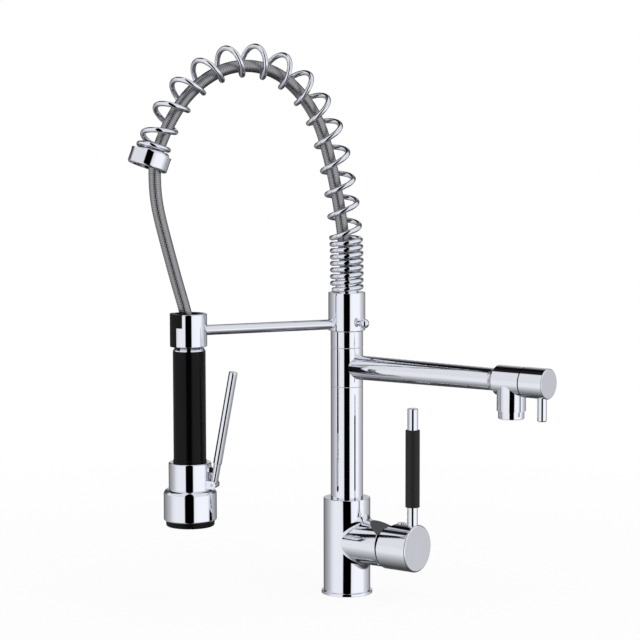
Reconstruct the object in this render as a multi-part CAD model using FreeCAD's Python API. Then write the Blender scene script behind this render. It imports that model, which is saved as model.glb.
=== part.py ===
import FreeCAD, Part
import math
import os

# Kitchen faucet with a side mixer, a swinging spout, and a spring arch that carries a pull-down wand.
# Millimetres. The origin is the centre of the base on the deck, +Z is up, and the mixer and the spout
# point along +X. The spring arm is drawn in the XZ plane and then turned about the column.

# Clearances
FIT = 0.02
RUNNING = 0.08
FACE_GAP = 0.03
LOOSE = 0.3

# Base and mixer body
BASE_D = 49.0
BASE_H = 3.0
GASKET_D = 44.0
GASKET_BORE = 37.0
GASKET_H = 1.5
SPIGOT_D = 33.8
BODY_D = 45.0
BODY_TOP = 93.0
RISER_SOCKET = 8.0
CHAMBER_D = 26.0
CHAMBER_H = 7.0
STUD_BORE = 6.8
STUD_DEPTH = 18.0
INLET_BORE = 9.0
INLET_DEPTH = 12.0
INLET_X = -6.0
INLET_Y = 9.5
CHANNEL_D = 6.0
RIM_ROUND = 0.5

# Mixer housing and its cover, along +X
MIXER_Z = 52.0
HOUSING_D = 42.8
COVER_START = 26.0
HOUSING_END = 48.0
COVER_BORE = 22.0
FACET_RISE = 12.0
FACET_ANGLE = 28.0

# Cartridge, along +X
CART_D = 35.6
CART_BACK = 2.0
CART_BASE_H = 5.0
FIXED_DISC_H = 4.0
FIXED_DISC_D = 29.0
MOVING_DISC_H = 3.4
MOVING_DISC_D = 24.0
SHELL_BORE = 30.2
SHELL_H = 20.0
SHELL_FRONT = 2.6
SHELL_MOUTH = 19.0
NUT_H = 4.0
NUT_BORE = 24.0
PORT_D = 5.0
PORT_R = 9.5
SEAL_D = 8.6
SEAL_H = 1.2
DISC_ROOM = 28.0
STEM_D = 8.0
STEM_SLOT = 10.8
STEM_END = 68.0
FOOT_D = 6.4
FOOT_H = 1.5
STEM_SHOULDER = 1.4
POCKET_DEPTH = 2.2
PIVOT_X = 19.5
PIVOT_D = 3.0
PIVOT_L = 26.0

# Mixer handle
CAP_GAP = 2.2
CAP_D = 45.0
CAP_L = 32.6
CAP_SLANT = 7.9
CAP_FACET_DEPTH = 5.5
CAP_FACET_ANGLE = 33.0
CAP_ROUND = 1.6
LEVER_X = 76.7
LEVER_D = 10.2
LEVER_TOP = 185.3
LEVER_SEAT = 10.0
LEVER_ROUND = 1.5
SLEEVE_D = 13.6
SLEEVE_BOTTOM = 91.3
SLEEVE_L = 73.5
SCREW_X = 64.0
SCREW_D = 5.0
SCREW_L = 8.0
PLUG_D = 7.0
PLUG_RISE = 0.8

# Column and swivel
RISER_D = 31.0
RISER_WALL = 1.5
RISER_TOP = 200.7
CORE_STEP = 3.5
CORE_WALL = 6.0
CORE_PLUG = 14.0
HUB_H = 37.8
WASHER_H = 0.4
WASHER_INSET = 0.3
UPPER_H = 15.5
SEAL_GROOVE_DEPTH = 1.7
SEAL_GROOVE_H = 2.4
SEAL_RISES = (7.0, 30.0, 62.0)
CORE_NUT_WALL = 2.5
CORE_NUT_H = 4.6

# Spout, along +X
SPOUT_RISE = 18.4
SPOUT_ROOT_D = 23.5
SPOUT_NECK_D = 20.6
SPOUT_NECK_X = 165.0
SPOUT_END = 172.0
VALVE_D = 27.6
VALVE_L = 28.0
SPOUT_BORE = 15.0
OUTLET_X = 185.7
OUTLET_D = 26.6
OUTLET_DROP = 27.3
OUTLET_BORE = 18.0
HEADWORK_L = 8.0
SPINDLE_D = 8.0
SPINDLE_BACK = 16.0
SPINDLE_FRONT = 14.0
SPINDLE_DISC_D = 12.0
SPINDLE_DISC_H = 2.5
KNOB_D = 28.0
KNOB_L = 24.5
KNOB_ROUND = 1.0
KNOB_GAP = 1.0
KNOB_PIN_D = 8.8
KNOB_PIN_X = 218.4
KNOB_PIN_DROP = 34.7
KNOB_PIN_SEAT = 8.0
AERATOR_D = 24.0
AERATOR_H = 7.2
AERATOR_BORE = 14.6
AERATOR_THREAD_H = 6.0
AERATOR_RECESS = 1.2
INSERT_H = 9.0
INSERT_HOLE_D = 1.8
INSERT_RING_RADII = (2.6, 5.2)
INSERT_RING_COUNTS = (6, 12)
AERATOR_WASHER_BORE = 12.0
AERATOR_WASHER_H = 1.5

# Spring arm: sleeve, rod, dock
ARM_AZIMUTH = -120.0
ARM_SLEEVE_WALL = 2.85
ARM_SLEEVE_H = 24.6
SEAT_H = 12.0
SEAT_SPIGOT_D = 21.8
SEAT_SPIGOT_H = 16.0
SEAT_SPIGOT_BORE = 14.5
HOSE_HOLE_D = 12.2
ARM_ROD_D = 9.6
ARM_ROD_RISE = 6.2
ARM_ROD_SEAT = 3.5
BALL_D = 9.2
BALL_R = 25.0
BALL_RISE = 1.9
BALL_AZIMUTH = 108.0
BALL_SHANK_D = 6.0
BALL_SEAT = 4.0
DOCK_REACH = 160.0
DOCK_D = 33.6
DOCK_WALL = 2.8
DOCK_DROP = 14.4
DOCK_H = 30.6
DOCK_ROUND = 0.8
DOCK_SLOT_W = 14.0
DOCK_NOTCH_W = 25.0
DOCK_NOTCH_H = 12.6
LINER_WALL = 1.9
LINER_INSET = 0.8
LINER_PROUD = 1.0

# Spring arch: the centreline runs up and then over through tangent arcs of a radius and a turn
SPRING_D = 32.2
WIRE_D = 5.0
ARCH_STRAIGHT = 24.8
ARCH_ARCS = ((420.0, 17.0), (115.0, 33.0), (74.0, 68.0), (105.0, 28.0), (170.0, 14.0))
TIGHT_TURNS = 8
TIGHT_PITCH = 6.3
RISING_TURNS = 2.5
RISING_PITCH = 21.9
OPEN_TURNS = 11.25
CLOSING_TURNS = 1.75
CLOSING_PITCH = 6.0
WIRE_END_TURN = 30.0
WIRE_POCKET = 4.0
WIRE_HOLE_GAP = 0.3
SPRING_TAIL = 9.0
COLLAR_D = 37.4
COLLAR_BORE = 32.9
COLLAR_L = 14.3
COLLAR_CUP = 4.0
COLLAR_LIP_D = 38.0
COLLAR_LIP_H = 1.4
COLLAR_ROUND = 1.8
COLLAR_FOOT_D = 31.0
COLLAR_FOOT_H = 1.6

# Hose
HOSE_D = 11.5
HOSE_OFFSET = 5.2
HOSE_EXIT_R = 64.7
FREE_ROUTE = (
    (0.0, -11.9),
    (-2.1, -29.9),
    (-6.3, -47.9),
    (-11.5, -67.4),
    (-16.7, -86.4),
    (-21.3, -102.9),
    (-26.3, -119.4),
)
ROUTE_LAST = ((2.0, 22.5), (0.0, 11.0))
ARC_SHARE = 0.45
FERRULE_D = 13.6
FERRULE_H = 9.7
FERRULE_NECK_D = 10.0
FERRULE_NECK_L = 12.3
CLIP_D = 14.0
CLIP_H = 2.2

# Wand, about its own upright axis
NECK_D = 23.2
NECK_TOP = 270.0
NECK_BORE = 18.0
NECK_DEPTH = 30.0
NECK_FLOOR_H = 6.0
NECK_TAIL_D = 22.0
NECK_TAIL_BOTTOM = 226.0
NECK_LOWER_BORE = 16.0
BAND_BOTTOM = 242.0
BAND_TOP = 245.9
BAND_GAP = 0.3
BAND_TOP_D = 26.0
GRIP_D = 30.5
GRIP_BOTTOM = 137.6
GRIP_BORE = 19.9
GRIP_LIP_D = 31.4
GRIP_LIP_H = 2.4
CORE_TUBE_BORE = 14.0
CORE_TUBE_BOTTOM = 100.0
COLLAR_RING_D = 40.0
COLLAR_RING_H = 25.2
COLLAR_RING_ROUND = 1.2
BELL_D = 49.6
BELL_BOTTOM = 82.7
BELL_WALL = 2.5
BELL_ROUND = 4.5
BELL_FOOT_ROUND = 2.0
FACE_D = 45.4
FACE_BOTTOM = 77.6
FACE_H = 10.4
FACE_ROUND = 1.5
NOZZLE_D = 2.2
NOZZLE_RISE = 0.9
NOZZLE_RING_RADII = (5.0, 10.5, 16.0)
NOZZLE_RING_COUNTS = (6, 12, 18)

# Trigger, on the collar ring
TRIGGER_AZIMUTH = 18.0
TRIGGER_D = 7.0
TRIGGER_GRIP_D = 8.2
TRIGGER_GRIP_START = 20.0
TRIGGER_R = 23.8
TRIGGER_Z = 117.5
TRIGGER_TILT = 10.7
TRIGGER_L = 108.3
TRIGGER_EYE_D = 7.0
TRIGGER_EYE_W = 7.2
TRIGGER_PIN_D = 2.5
CHEEK_W = 2.0
CHEEK_ROUND = 3.7
PLUNGER_D = 5.0
PLUNGER_Z = 131.0
PLUNGER_INNER_R = 12.6
PLUNGER_BOSS_D = 9.0
PLUNGER_BOSS_R = 20.7


X = FreeCAD.Vector(1, 0, 0)
Y = FreeCAD.Vector(0, 1, 0)
Z = FreeCAD.Vector(0, 0, 1)
ORIGIN = FreeCAD.Vector(0, 0, 0)


def point(x, y, z):
    return FreeCAD.Vector(x, y, z)


def rod(diameter, start, end, direction=Z, at=ORIGIN):
    """A cylinder from start to end, measured from `at` along a direction."""
    return Part.makeCylinder(diameter / 2, end - start, at + direction * start, direction)


def tube(diameter, bore, start, end, direction=Z, at=ORIGIN):
    """A pipe from start to end, measured from `at` along a direction."""
    return rod(diameter, start, end, direction, at).cut(rod(bore, start, end, direction, at))


def turned(corners):
    """A solid of revolution about Z from its half outline of (radius, height) corners."""
    outline = Part.makePolygon([point(r, 0, z) for r, z in corners + corners[:1]])
    return Part.Face(outline).revolve(ORIGIN, Z, 360)


RIM_MATCH = 0.01


def round_rim(shape, radius, diameter, at):
    """Rounds the circular rim of a diameter whose centre lies at a point."""
    rims = []
    for edge in shape.Edges:
        if not isinstance(edge.Curve, Part.Circle):
            continue
        same_size = abs(edge.Curve.Radius - diameter / 2) < RIM_MATCH
        if same_size and edge.Curve.Center.distanceToPoint(at) < RIM_MATCH:
            rims.append(edge)
    return shape.makeFillet(radius, rims)


def wedge(corners, half_width):
    """A prism across Y with an outline of (x, z) corners."""
    outline = Part.makePolygon([point(x, -half_width, z) for x, z in corners + corners[:1]])
    return Part.Face(outline).extrude(Y * (2 * half_width))


def on_circle(radius, count):
    step = 2 * math.pi / count
    return [(radius * math.cos(i * step), radius * math.sin(i * step)) for i in range(count)]


def tan_deg(angle):
    return math.tan(math.radians(angle))


def save(name, shape):
    shape.exportStep("parts/" + name + ".step")


def group(name, shapes):
    save(name, Part.makeCompound(shapes))


os.makedirs("parts", exist_ok=True)

# Base ring and gasket
base_gasket = tube(GASKET_D - 2 * FIT, GASKET_BORE + 2 * FIT, 0, GASKET_H)
base_ring = tube(BASE_D, SPIGOT_D + 2 * FIT, 0, BASE_H).cut(tube(GASKET_D, GASKET_BORE, 0, GASKET_H))
base_ring = round_rim(base_ring, RIM_ROUND, BASE_D, Z * BASE_H)
save("base_gasket", base_gasket)
save("base_ring", base_ring)

# Mixer body: the water comes up from two inlets to the back of the cartridge, and leaves upwards
mixer_axis = Z * MIXER_Z
riser_bottom = BODY_TOP - RISER_SOCKET
chamber_bottom = riser_bottom - CHAMBER_H
cavity_d = CART_D + 2 * FIT
mixer_body = rod(BODY_D, BASE_H, BODY_TOP)
mixer_body = round_rim(mixer_body, RIM_ROUND, BODY_D, Z * BODY_TOP)
mixer_body = mixer_body.fuse(rod(SPIGOT_D, 0, BASE_H))
mixer_body = mixer_body.fuse(rod(HOUSING_D, 0, COVER_START, X, mixer_axis)).removeSplitter()
mixer_body = mixer_body.cut(rod(cavity_d, CART_BACK, COVER_START, X, mixer_axis))
mixer_body = mixer_body.cut(rod(RISER_D + 2 * FIT, riser_bottom, BODY_TOP))
mixer_body = mixer_body.cut(rod(CHAMBER_D, chamber_bottom, riser_bottom))
mixer_body = mixer_body.cut(rod(STUD_BORE, 0, STUD_DEPTH))
for side in (-1, 1):
    inlet = point(INLET_X, side * INLET_Y, 0)
    mixer_body = mixer_body.cut(rod(INLET_BORE, 0, INLET_DEPTH, Z, inlet))
    mixer_body = mixer_body.cut(rod(CHANNEL_D, INLET_DEPTH, MIXER_Z + CHANNEL_D / 2, Z, inlet))
    mixer_body = mixer_body.cut(rod(CHANNEL_D, 0, CART_BACK - INLET_X, X, inlet + mixer_axis))
outlet = point(INLET_X, 0, MIXER_Z + PORT_R)
mixer_body = mixer_body.cut(rod(CHANNEL_D, 0, CART_BACK - INLET_X, X, outlet))
mixer_body = mixer_body.cut(rod(CHANNEL_D, -CHANNEL_D / 2, chamber_bottom - outlet.z, Z, outlet))
save("mixer_body", mixer_body)

# Cover on the front of the housing, with a slope on top that lets the handle lean back
cover_step = CART_BACK + CART_BASE_H + SHELL_H + NUT_H + LOOSE
mixer_cover = rod(HOUSING_D, COVER_START, HOUSING_END, X, mixer_axis)
mixer_cover = round_rim(mixer_cover, RIM_ROUND, HOUSING_D, mixer_axis + X * HOUSING_END)
mixer_cover = mixer_cover.cut(rod(cavity_d, COVER_START, cover_step, X, mixer_axis))
mixer_cover = mixer_cover.cut(rod(COVER_BORE, cover_step, HOUSING_END, X, mixer_axis))
facet_foot = MIXER_Z + FACET_RISE
facet_run = (HOUSING_D / 2) / tan_deg(FACET_ANGLE)
facet = wedge(
    [
        (HOUSING_END, facet_foot),
        (HOUSING_END, facet_foot + HOUSING_D / 2),
        (HOUSING_END - facet_run, facet_foot + HOUSING_D / 2),
    ],
    HOUSING_D,
)
mixer_cover = mixer_cover.cut(facet)
save("mixer_cover", mixer_cover)

# Cartridge: seals, base, fixed disc, shell and the nut that holds them
ports = [point(0, -PORT_R, 0), point(0, PORT_R, 0), point(0, 0, PORT_R)]
base_front = CART_BACK + CART_BASE_H
fixed_front = base_front + FIXED_DISC_H
shell_front = base_front + SHELL_H
seals = []
cartridge_base = rod(CART_D, CART_BACK, base_front, X, mixer_axis)
fixed_disc = rod(FIXED_DISC_D, base_front, fixed_front, X, mixer_axis)
for port in ports:
    centre = mixer_axis + port
    seals.append(tube(SEAL_D, PORT_D, CART_BACK, CART_BACK + SEAL_H, X, centre))
    cartridge_base = cartridge_base.cut(rod(SEAL_D + 2 * FIT, CART_BACK, CART_BACK + SEAL_H, X, centre))
    cartridge_base = cartridge_base.cut(rod(PORT_D, CART_BACK, base_front, X, centre))
    fixed_disc = fixed_disc.cut(rod(PORT_D, base_front, fixed_front, X, centre))
shell = tube(CART_D, SHELL_BORE, base_front, shell_front - SHELL_FRONT, X, mixer_axis)
shell = shell.fuse(tube(CART_D, SHELL_MOUTH, shell_front - SHELL_FRONT, shell_front, X, mixer_axis))
cartridge_nut = tube(CART_D, NUT_BORE, shell_front, shell_front + NUT_H, X, mixer_axis)
group("port_seals", seals)
save("cartridge_base", cartridge_base)
save("fixed_disc", fixed_disc)
save("cartridge_shell", shell.removeSplitter())
save("cartridge_nut", cartridge_nut)

# Moving disc, carrier and pivot pin
disc_back = fixed_front + FACE_GAP
disc_front = disc_back + MOVING_DISC_H
pocket_back = disc_front - POCKET_DEPTH
moving_disc = rod(MOVING_DISC_D, disc_back, disc_front, X, mixer_axis)
moving_disc = moving_disc.cut(rod(FOOT_D + 2 * LOOSE, pocket_back, disc_front, X, mixer_axis))
save("moving_disc", moving_disc)
carrier_front = shell_front - SHELL_FRONT - RUNNING
carrier_floor = disc_front + RUNNING
carrier = rod(SHELL_BORE - 2 * RUNNING, disc_back, carrier_front, X, mixer_axis)
carrier = carrier.cut(rod(DISC_ROOM, disc_back, carrier_floor, X, mixer_axis))
stem_room = STEM_D + 2 * RUNNING
slot_corner = point(carrier_floor, -stem_room / 2, MIXER_Z - STEM_SLOT / 2)
carrier = carrier.cut(Part.makeBox(carrier_front - carrier_floor, stem_room, STEM_SLOT, slot_corner))
pivot = point(PIVOT_X, 0, MIXER_Z)
carrier = carrier.cut(rod(PIVOT_D + 2 * FIT, -SHELL_BORE / 2, SHELL_BORE / 2, Y, pivot))
save("carrier", carrier)
save("pivot_pin", rod(PIVOT_D, -PIVOT_L / 2, PIVOT_L / 2, Y, pivot))

# Stem: its foot slides the moving disc
stem_shoulder = disc_front + STEM_SHOULDER
stem = rod(STEM_D, stem_shoulder, STEM_END, X, mixer_axis)
stem = stem.fuse(rod(FOOT_D, disc_front - FOOT_H, stem_shoulder, X, mixer_axis))
stem = stem.cut(rod(PIVOT_D + 2 * RUNNING, -STEM_D, STEM_D, Y, pivot))
save("cartridge_stem", stem)

# Handle cap: its rear slants and slopes away above the axis, to clear the cover when it leans back
cap_back = HOUSING_END + CAP_GAP
cap_end = cap_back + CAP_L
cap_top = MIXER_Z + CAP_D / 2
cap_facet_z = cap_top - CAP_FACET_DEPTH
slant_run = (cap_facet_z - MIXER_Z) * tan_deg(CAP_SLANT)
cap_facet_run = CAP_FACET_DEPTH / tan_deg(CAP_FACET_ANGLE)
handle_cap = rod(CAP_D, cap_back, cap_end, X, mixer_axis)
handle_cap = round_rim(handle_cap, CAP_ROUND, CAP_D, mixer_axis + X * cap_end)
relief = wedge(
    [
        (cap_back, MIXER_Z),
        (cap_back + slant_run, cap_facet_z),
        (cap_back + slant_run + cap_facet_run, cap_top),
        (cap_back + slant_run + cap_facet_run, cap_top + CAP_D),
        (cap_back - CAP_GAP, cap_top + CAP_D),
        (cap_back - CAP_GAP, MIXER_Z),
    ],
    CAP_D,
)
handle_cap = handle_cap.cut(relief)
stem_top = MIXER_Z + STEM_D / 2
screw_top = stem_top + SCREW_L
lever_foot = cap_top - LEVER_SEAT
lever_at = X * LEVER_X
screw_at = X * SCREW_X
handle_cap = handle_cap.cut(rod(STEM_D + 2 * FIT, cap_back - CAP_GAP, STEM_END, X, mixer_axis))
handle_cap = handle_cap.cut(rod(LEVER_D + 2 * FIT, lever_foot, cap_top, Z, lever_at))
handle_cap = handle_cap.cut(rod(SCREW_D + 2 * FIT, MIXER_Z, cap_top, Z, screw_at))
handle_cap = handle_cap.cut(rod(PLUG_D + 2 * FIT, screw_top, cap_top, Z, screw_at))
save("handle_cap", handle_cap)
lever_rod = rod(LEVER_D, lever_foot, LEVER_TOP, Z, lever_at)
save("lever_rod", round_rim(lever_rod, LEVER_ROUND, LEVER_D, lever_at + Z * LEVER_TOP))
sleeve_top = SLEEVE_BOTTOM + SLEEVE_L
save("lever_sleeve", tube(SLEEVE_D, LEVER_D + 2 * FIT, SLEEVE_BOTTOM, sleeve_top, Z, lever_at))
save("handle_screw", rod(SCREW_D, stem_top + FIT, screw_top, Z, screw_at))
save("handle_plug", rod(PLUG_D, screw_top, cap_top + PLUG_RISE, Z, screw_at))

# Riser tube, and the swivel core that stands in it and carries the spout and the spring arm
riser_bore = RISER_D - 2 * RISER_WALL
core_d = RISER_D - 2 * CORE_STEP
core_bore = core_d - 2 * CORE_WALL
washer_d = RISER_D - 2 * WASHER_INSET
seal_groove_d = core_d - 2 * SEAL_GROOVE_DEPTH
hub_bottom = RISER_TOP + WASHER_H
upper_bottom = hub_bottom + HUB_H - WASHER_H
upper_top = upper_bottom + UPPER_H
arm_bottom = upper_top + WASHER_H
seat_bottom = arm_bottom + ARM_SLEEVE_H
seat_top = seat_bottom + SEAT_H
spout_z = hub_bottom + SPOUT_RISE
core_nut_d = core_d + 2 * CORE_NUT_WALL
arm_sleeve_d = core_nut_d + 2 * (LOOSE + ARM_SLEEVE_WALL)
core_nut_bottom = seat_bottom - CORE_NUT_H - LOOSE
core_top = seat_bottom - LOOSE
swivel_bore = core_d + 2 * RUNNING
save("riser_tube", tube(RISER_D, riser_bore, riser_bottom, RISER_TOP))
core = rod(riser_bore - 2 * FIT, RISER_TOP - CORE_PLUG, RISER_TOP).fuse(rod(core_d, RISER_TOP, core_top))
core = core.cut(rod(core_bore, RISER_TOP - CORE_PLUG, core_top))
core = core.cut(rod(CHANNEL_D, -core_d, core_d, X, Z * spout_z))
swivel_seals = []
for rise in SEAL_RISES:
    groove = RISER_TOP + rise
    core = core.cut(tube(core_d, seal_groove_d, groove, groove + SEAL_GROOVE_H))
    swivel_seals.append(tube(core_d, seal_groove_d + 2 * FIT, groove + FIT, groove + SEAL_GROOVE_H - FIT))
save("swivel_core", core.removeSplitter())
group("swivel_seals", swivel_seals)
washer_bore = core_d + 2 * FIT
washers = [
    tube(washer_d, washer_bore, RISER_TOP, hub_bottom),
    tube(washer_d, washer_bore, upper_bottom - WASHER_H, upper_bottom),
    tube(washer_d, washer_bore, upper_top, arm_bottom),
]
group("swivel_washers", washers)
save("upper_column", tube(RISER_D, washer_bore, upper_bottom, upper_top))
save("core_nut", tube(core_nut_d, washer_bore, core_nut_bottom, core_top))

# Spout arm: a hub on the core, a slow taper and a flare to the valve body
spout_axis = Z * spout_z
hub = rod(RISER_D, hub_bottom + FACE_GAP, upper_bottom - WASHER_H - FACE_GAP)
root_r = SPOUT_ROOT_D / 2
neck_r = SPOUT_NECK_D / 2
flare_l = SPOUT_END - SPOUT_NECK_X
flare_rise = VALVE_D / 2 - neck_r
flare_radius = (flare_l ** 2 + flare_rise ** 2) / (2 * flare_rise)
flare_mid_r = neck_r + flare_radius - math.sqrt(flare_radius ** 2 - (flare_l / 2) ** 2)
edges = [
    Part.LineSegment(point(0, 0, 0), point(0, 0, root_r)).toShape(),
    Part.LineSegment(point(0, 0, root_r), point(SPOUT_NECK_X, 0, neck_r)).toShape(),
    Part.Arc(
        point(SPOUT_NECK_X, 0, neck_r),
        point(SPOUT_NECK_X + flare_l / 2, 0, flare_mid_r),
        point(SPOUT_END, 0, VALVE_D / 2),
    ).toShape(),
    Part.LineSegment(point(SPOUT_END, 0, VALVE_D / 2), point(SPOUT_END, 0, 0)).toShape(),
    Part.LineSegment(point(SPOUT_END, 0, 0), point(0, 0, 0)).toShape(),
]
taper = Part.Face(Part.Wire(edges)).revolve(ORIGIN, X, 360)
taper.translate(spout_axis)
spout_arm = hub.fuse(taper).cut(rod(swivel_bore, hub_bottom, upper_bottom))
spout_arm = spout_arm.cut(rod(SPOUT_BORE, 0, SPOUT_END, X, spout_axis))
save("spout_arm", spout_arm)

# Valve body with its outlet neck, the valve in it, and the knob
valve_end = SPOUT_END + VALVE_L
outlet_at = X * OUTLET_X
outlet_bottom = spout_z - OUTLET_DROP
valve_body = rod(VALVE_D, SPOUT_END, valve_end, X, spout_axis)
valve_body = valve_body.fuse(rod(OUTLET_D, outlet_bottom, spout_z, Z, outlet_at)).removeSplitter()
valve_body = valve_body.cut(rod(SPOUT_BORE, SPOUT_END, valve_end, X, spout_axis))
valve_body = valve_body.cut(rod(OUTLET_BORE, outlet_bottom, spout_z, Z, outlet_at))
save("valve_body", valve_body)
headwork_back = valve_end - HEADWORK_L
spindle_bore = SPINDLE_D + 2 * RUNNING
headwork = tube(SPOUT_BORE - 2 * FIT, spindle_bore, headwork_back, valve_end, X, spout_axis)
headwork = headwork.cut(rod(OUTLET_BORE, outlet_bottom, spout_z, Z, outlet_at))
save("valve_headwork", headwork)
knob_back = valve_end + KNOB_GAP
spindle_back = valve_end - SPINDLE_BACK
spindle_front = knob_back + SPINDLE_FRONT
spindle = rod(SPINDLE_D, spindle_back, spindle_front, X, spout_axis)
disc_end = spindle_back + SPINDLE_DISC_H
spindle = spindle.fuse(rod(SPINDLE_DISC_D, spindle_back, disc_end, X, spout_axis))
save("valve_spindle", spindle.removeSplitter())
knob_end = knob_back + KNOB_L
knob = rod(KNOB_D, knob_back, knob_end, X, spout_axis)
knob = round_rim(knob, KNOB_ROUND, KNOB_D, spout_axis + X * knob_end)
knob = round_rim(knob, RIM_ROUND, KNOB_D, spout_axis + X * knob_back)
knob_pin_at = X * KNOB_PIN_X
knob_pin_bottom = spout_z - KNOB_PIN_DROP
knob_pin_top = spout_z - KNOB_D / 2 + KNOB_PIN_SEAT
knob = knob.cut(rod(SPINDLE_D + 2 * FIT, knob_back, spindle_front, X, spout_axis))
knob = knob.cut(rod(KNOB_PIN_D + 2 * FIT, knob_pin_bottom, knob_pin_top, Z, knob_pin_at))
save("valve_knob", knob)
knob_pin = rod(KNOB_PIN_D, knob_pin_bottom, knob_pin_top, Z, knob_pin_at)
save("knob_pin", round_rim(knob_pin, LEVER_ROUND, KNOB_PIN_D, knob_pin_at + Z * knob_pin_bottom))

# Aerator in the outlet neck
aerator_bottom = outlet_bottom - AERATOR_H
thread_top = outlet_bottom + AERATOR_THREAD_H
aerator = rod(AERATOR_D, aerator_bottom, outlet_bottom, Z, outlet_at)
aerator = round_rim(aerator, RIM_ROUND, AERATOR_D, outlet_at + Z * aerator_bottom)
aerator = aerator.fuse(rod(OUTLET_BORE - 2 * FIT, outlet_bottom, thread_top, Z, outlet_at))
aerator = aerator.cut(rod(AERATOR_BORE, aerator_bottom, thread_top, Z, outlet_at))
save("aerator_housing", aerator)
insert_bottom = aerator_bottom + AERATOR_RECESS
insert_top = insert_bottom + INSERT_H
insert = rod(AERATOR_BORE - 2 * FIT, insert_bottom, insert_top, Z, outlet_at)
for ring_radius, count in zip(INSERT_RING_RADII, INSERT_RING_COUNTS):
    for x, y in on_circle(ring_radius, count):
        insert = insert.cut(rod(INSERT_HOLE_D, insert_bottom, insert_top, Z, outlet_at + point(x, y, 0)))
save("aerator_insert", insert)
aerator_washer_d = OUTLET_BORE - 2 * FIT
washer_top = thread_top + AERATOR_WASHER_H
save("aerator_washer", tube(aerator_washer_d, AERATOR_WASHER_BORE, thread_top, washer_top, Z, outlet_at))


# Spring arm, drawn in the XZ plane and turned to its azimuth
def arm_save(name, shape):
    shape.rotate(ORIGIN, Z, ARM_AZIMUTH)
    save(name, shape)


arm_sleeve = rod(arm_sleeve_d, arm_bottom + FACE_GAP, seat_bottom)
arm_sleeve = round_rim(arm_sleeve, RIM_ROUND, arm_sleeve_d, Z * (arm_bottom + FACE_GAP))
arm_sleeve = arm_sleeve.cut(rod(swivel_bore, arm_bottom, seat_bottom))
arm_sleeve = arm_sleeve.cut(rod(core_nut_d + 2 * LOOSE, core_nut_bottom - RUNNING, seat_bottom))
sleeve_r = arm_sleeve_d / 2
arm_rod_z = arm_bottom + ARM_ROD_RISE
arm_axis = Z * arm_rod_z
rod_start = sleeve_r - ARM_ROD_SEAT
arm_sleeve = arm_sleeve.cut(rod(ARM_ROD_D + 2 * FIT, rod_start, sleeve_r, X, arm_axis))
ball_way = point(math.cos(math.radians(BALL_AZIMUTH)), math.sin(math.radians(BALL_AZIMUTH)), 0)
ball_start = sleeve_r - BALL_SEAT
ball_axis = arm_axis + Z * BALL_RISE
arm_sleeve = arm_sleeve.cut(rod(BALL_SHANK_D + 2 * FIT, ball_start, sleeve_r, ball_way, ball_axis))
arm_save("arm_sleeve", arm_sleeve)
ball_screw = rod(BALL_SHANK_D, ball_start, BALL_R, ball_way, ball_axis)
ball_screw = ball_screw.fuse(Part.makeSphere(BALL_D / 2, ball_axis + ball_way * BALL_R))
arm_save("ball_screw", ball_screw)

# Dock ring with its outward slot, a wider notch above, and the liner whose lug fills them
dock_at = X * DOCK_REACH
dock_bottom = arm_rod_z - DOCK_DROP
dock_top = dock_bottom + DOCK_H
dock_bore = DOCK_D - 2 * DOCK_WALL
liner_d = dock_bore - 2 * FIT
liner_bore = dock_bore - 2 * LINER_WALL
rod_end = DOCK_REACH - dock_bore / 2 - FIT
arm_rod = rod(ARM_ROD_D, rod_start, rod_end, X, arm_axis)
arm_save("arm_rod", arm_rod.cut(rod(dock_bore, 0, dock_top, Z, dock_at)))


def dock_slot(width, bottom):
    return Part.makeBox(DOCK_D, width, dock_top - bottom, point(DOCK_REACH, -width / 2, bottom))


dock_ring = rod(DOCK_D, dock_bottom, dock_top, Z, dock_at)
dock_ring = round_rim(dock_ring, DOCK_ROUND, DOCK_D, dock_at + Z * dock_top)
dock_ring = round_rim(dock_ring, DOCK_ROUND, DOCK_D, dock_at + Z * dock_bottom)
dock_ring = dock_ring.cut(rod(dock_bore, dock_bottom, dock_top, Z, dock_at))
dock_ring = dock_ring.cut(rod(ARM_ROD_D + 2 * FIT, 0, rod_end, X, arm_axis))
liner = tube(liner_d, liner_bore, dock_bottom + LINER_INSET, dock_top - LINER_INSET, Z, dock_at)
lug_ring = tube(DOCK_D + 2 * LINER_PROUD, liner_bore, dock_bottom, dock_top, Z, dock_at)
for width, bottom in ((DOCK_SLOT_W, dock_bottom), (DOCK_NOTCH_W, dock_top - DOCK_NOTCH_H)):
    dock_ring = dock_ring.cut(dock_slot(width, bottom))
    liner = liner.fuse(lug_ring.common(dock_slot(width - 2 * FIT, bottom + FIT)))
liner = liner.removeSplitter()
arm_save("dock_ring", dock_ring)
arm_save("dock_liner", liner)


# Arch centreline: heading is the turn from straight up, and the arch leans towards +X
def step_along(place, radius, turn):
    """The end of a tangent arc that starts at a place of (x, z, heading)."""
    x, z, heading = place
    start = math.radians(heading)
    end = math.radians(heading + turn)
    x += radius * (math.cos(start) - math.cos(end))
    z += radius * (math.sin(end) - math.sin(start))
    return x, z, heading + turn


def heading_way(heading):
    return point(math.sin(math.radians(heading)), 0, math.cos(math.radians(heading)))


def inner_way(heading):
    return point(math.cos(math.radians(heading)), 0, -math.sin(math.radians(heading)))


arch_places = [(0.0, seat_top + ARCH_STRAIGHT, 0.0)]
arch_lengths = [ARCH_STRAIGHT]
for arc_radius, arc_turn in ARCH_ARCS:
    arch_places.append(step_along(arch_places[-1], arc_radius, arc_turn))
    arch_lengths.append(arc_radius * math.radians(arc_turn))
arch_x, arch_z, arch_heading = arch_places[-1]
arch_end = point(arch_x, 0, arch_z)
arch_way = heading_way(arch_heading)
arch_inner = inner_way(arch_heading)
spring_length = sum(arch_lengths) + SPRING_TAIL


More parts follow.
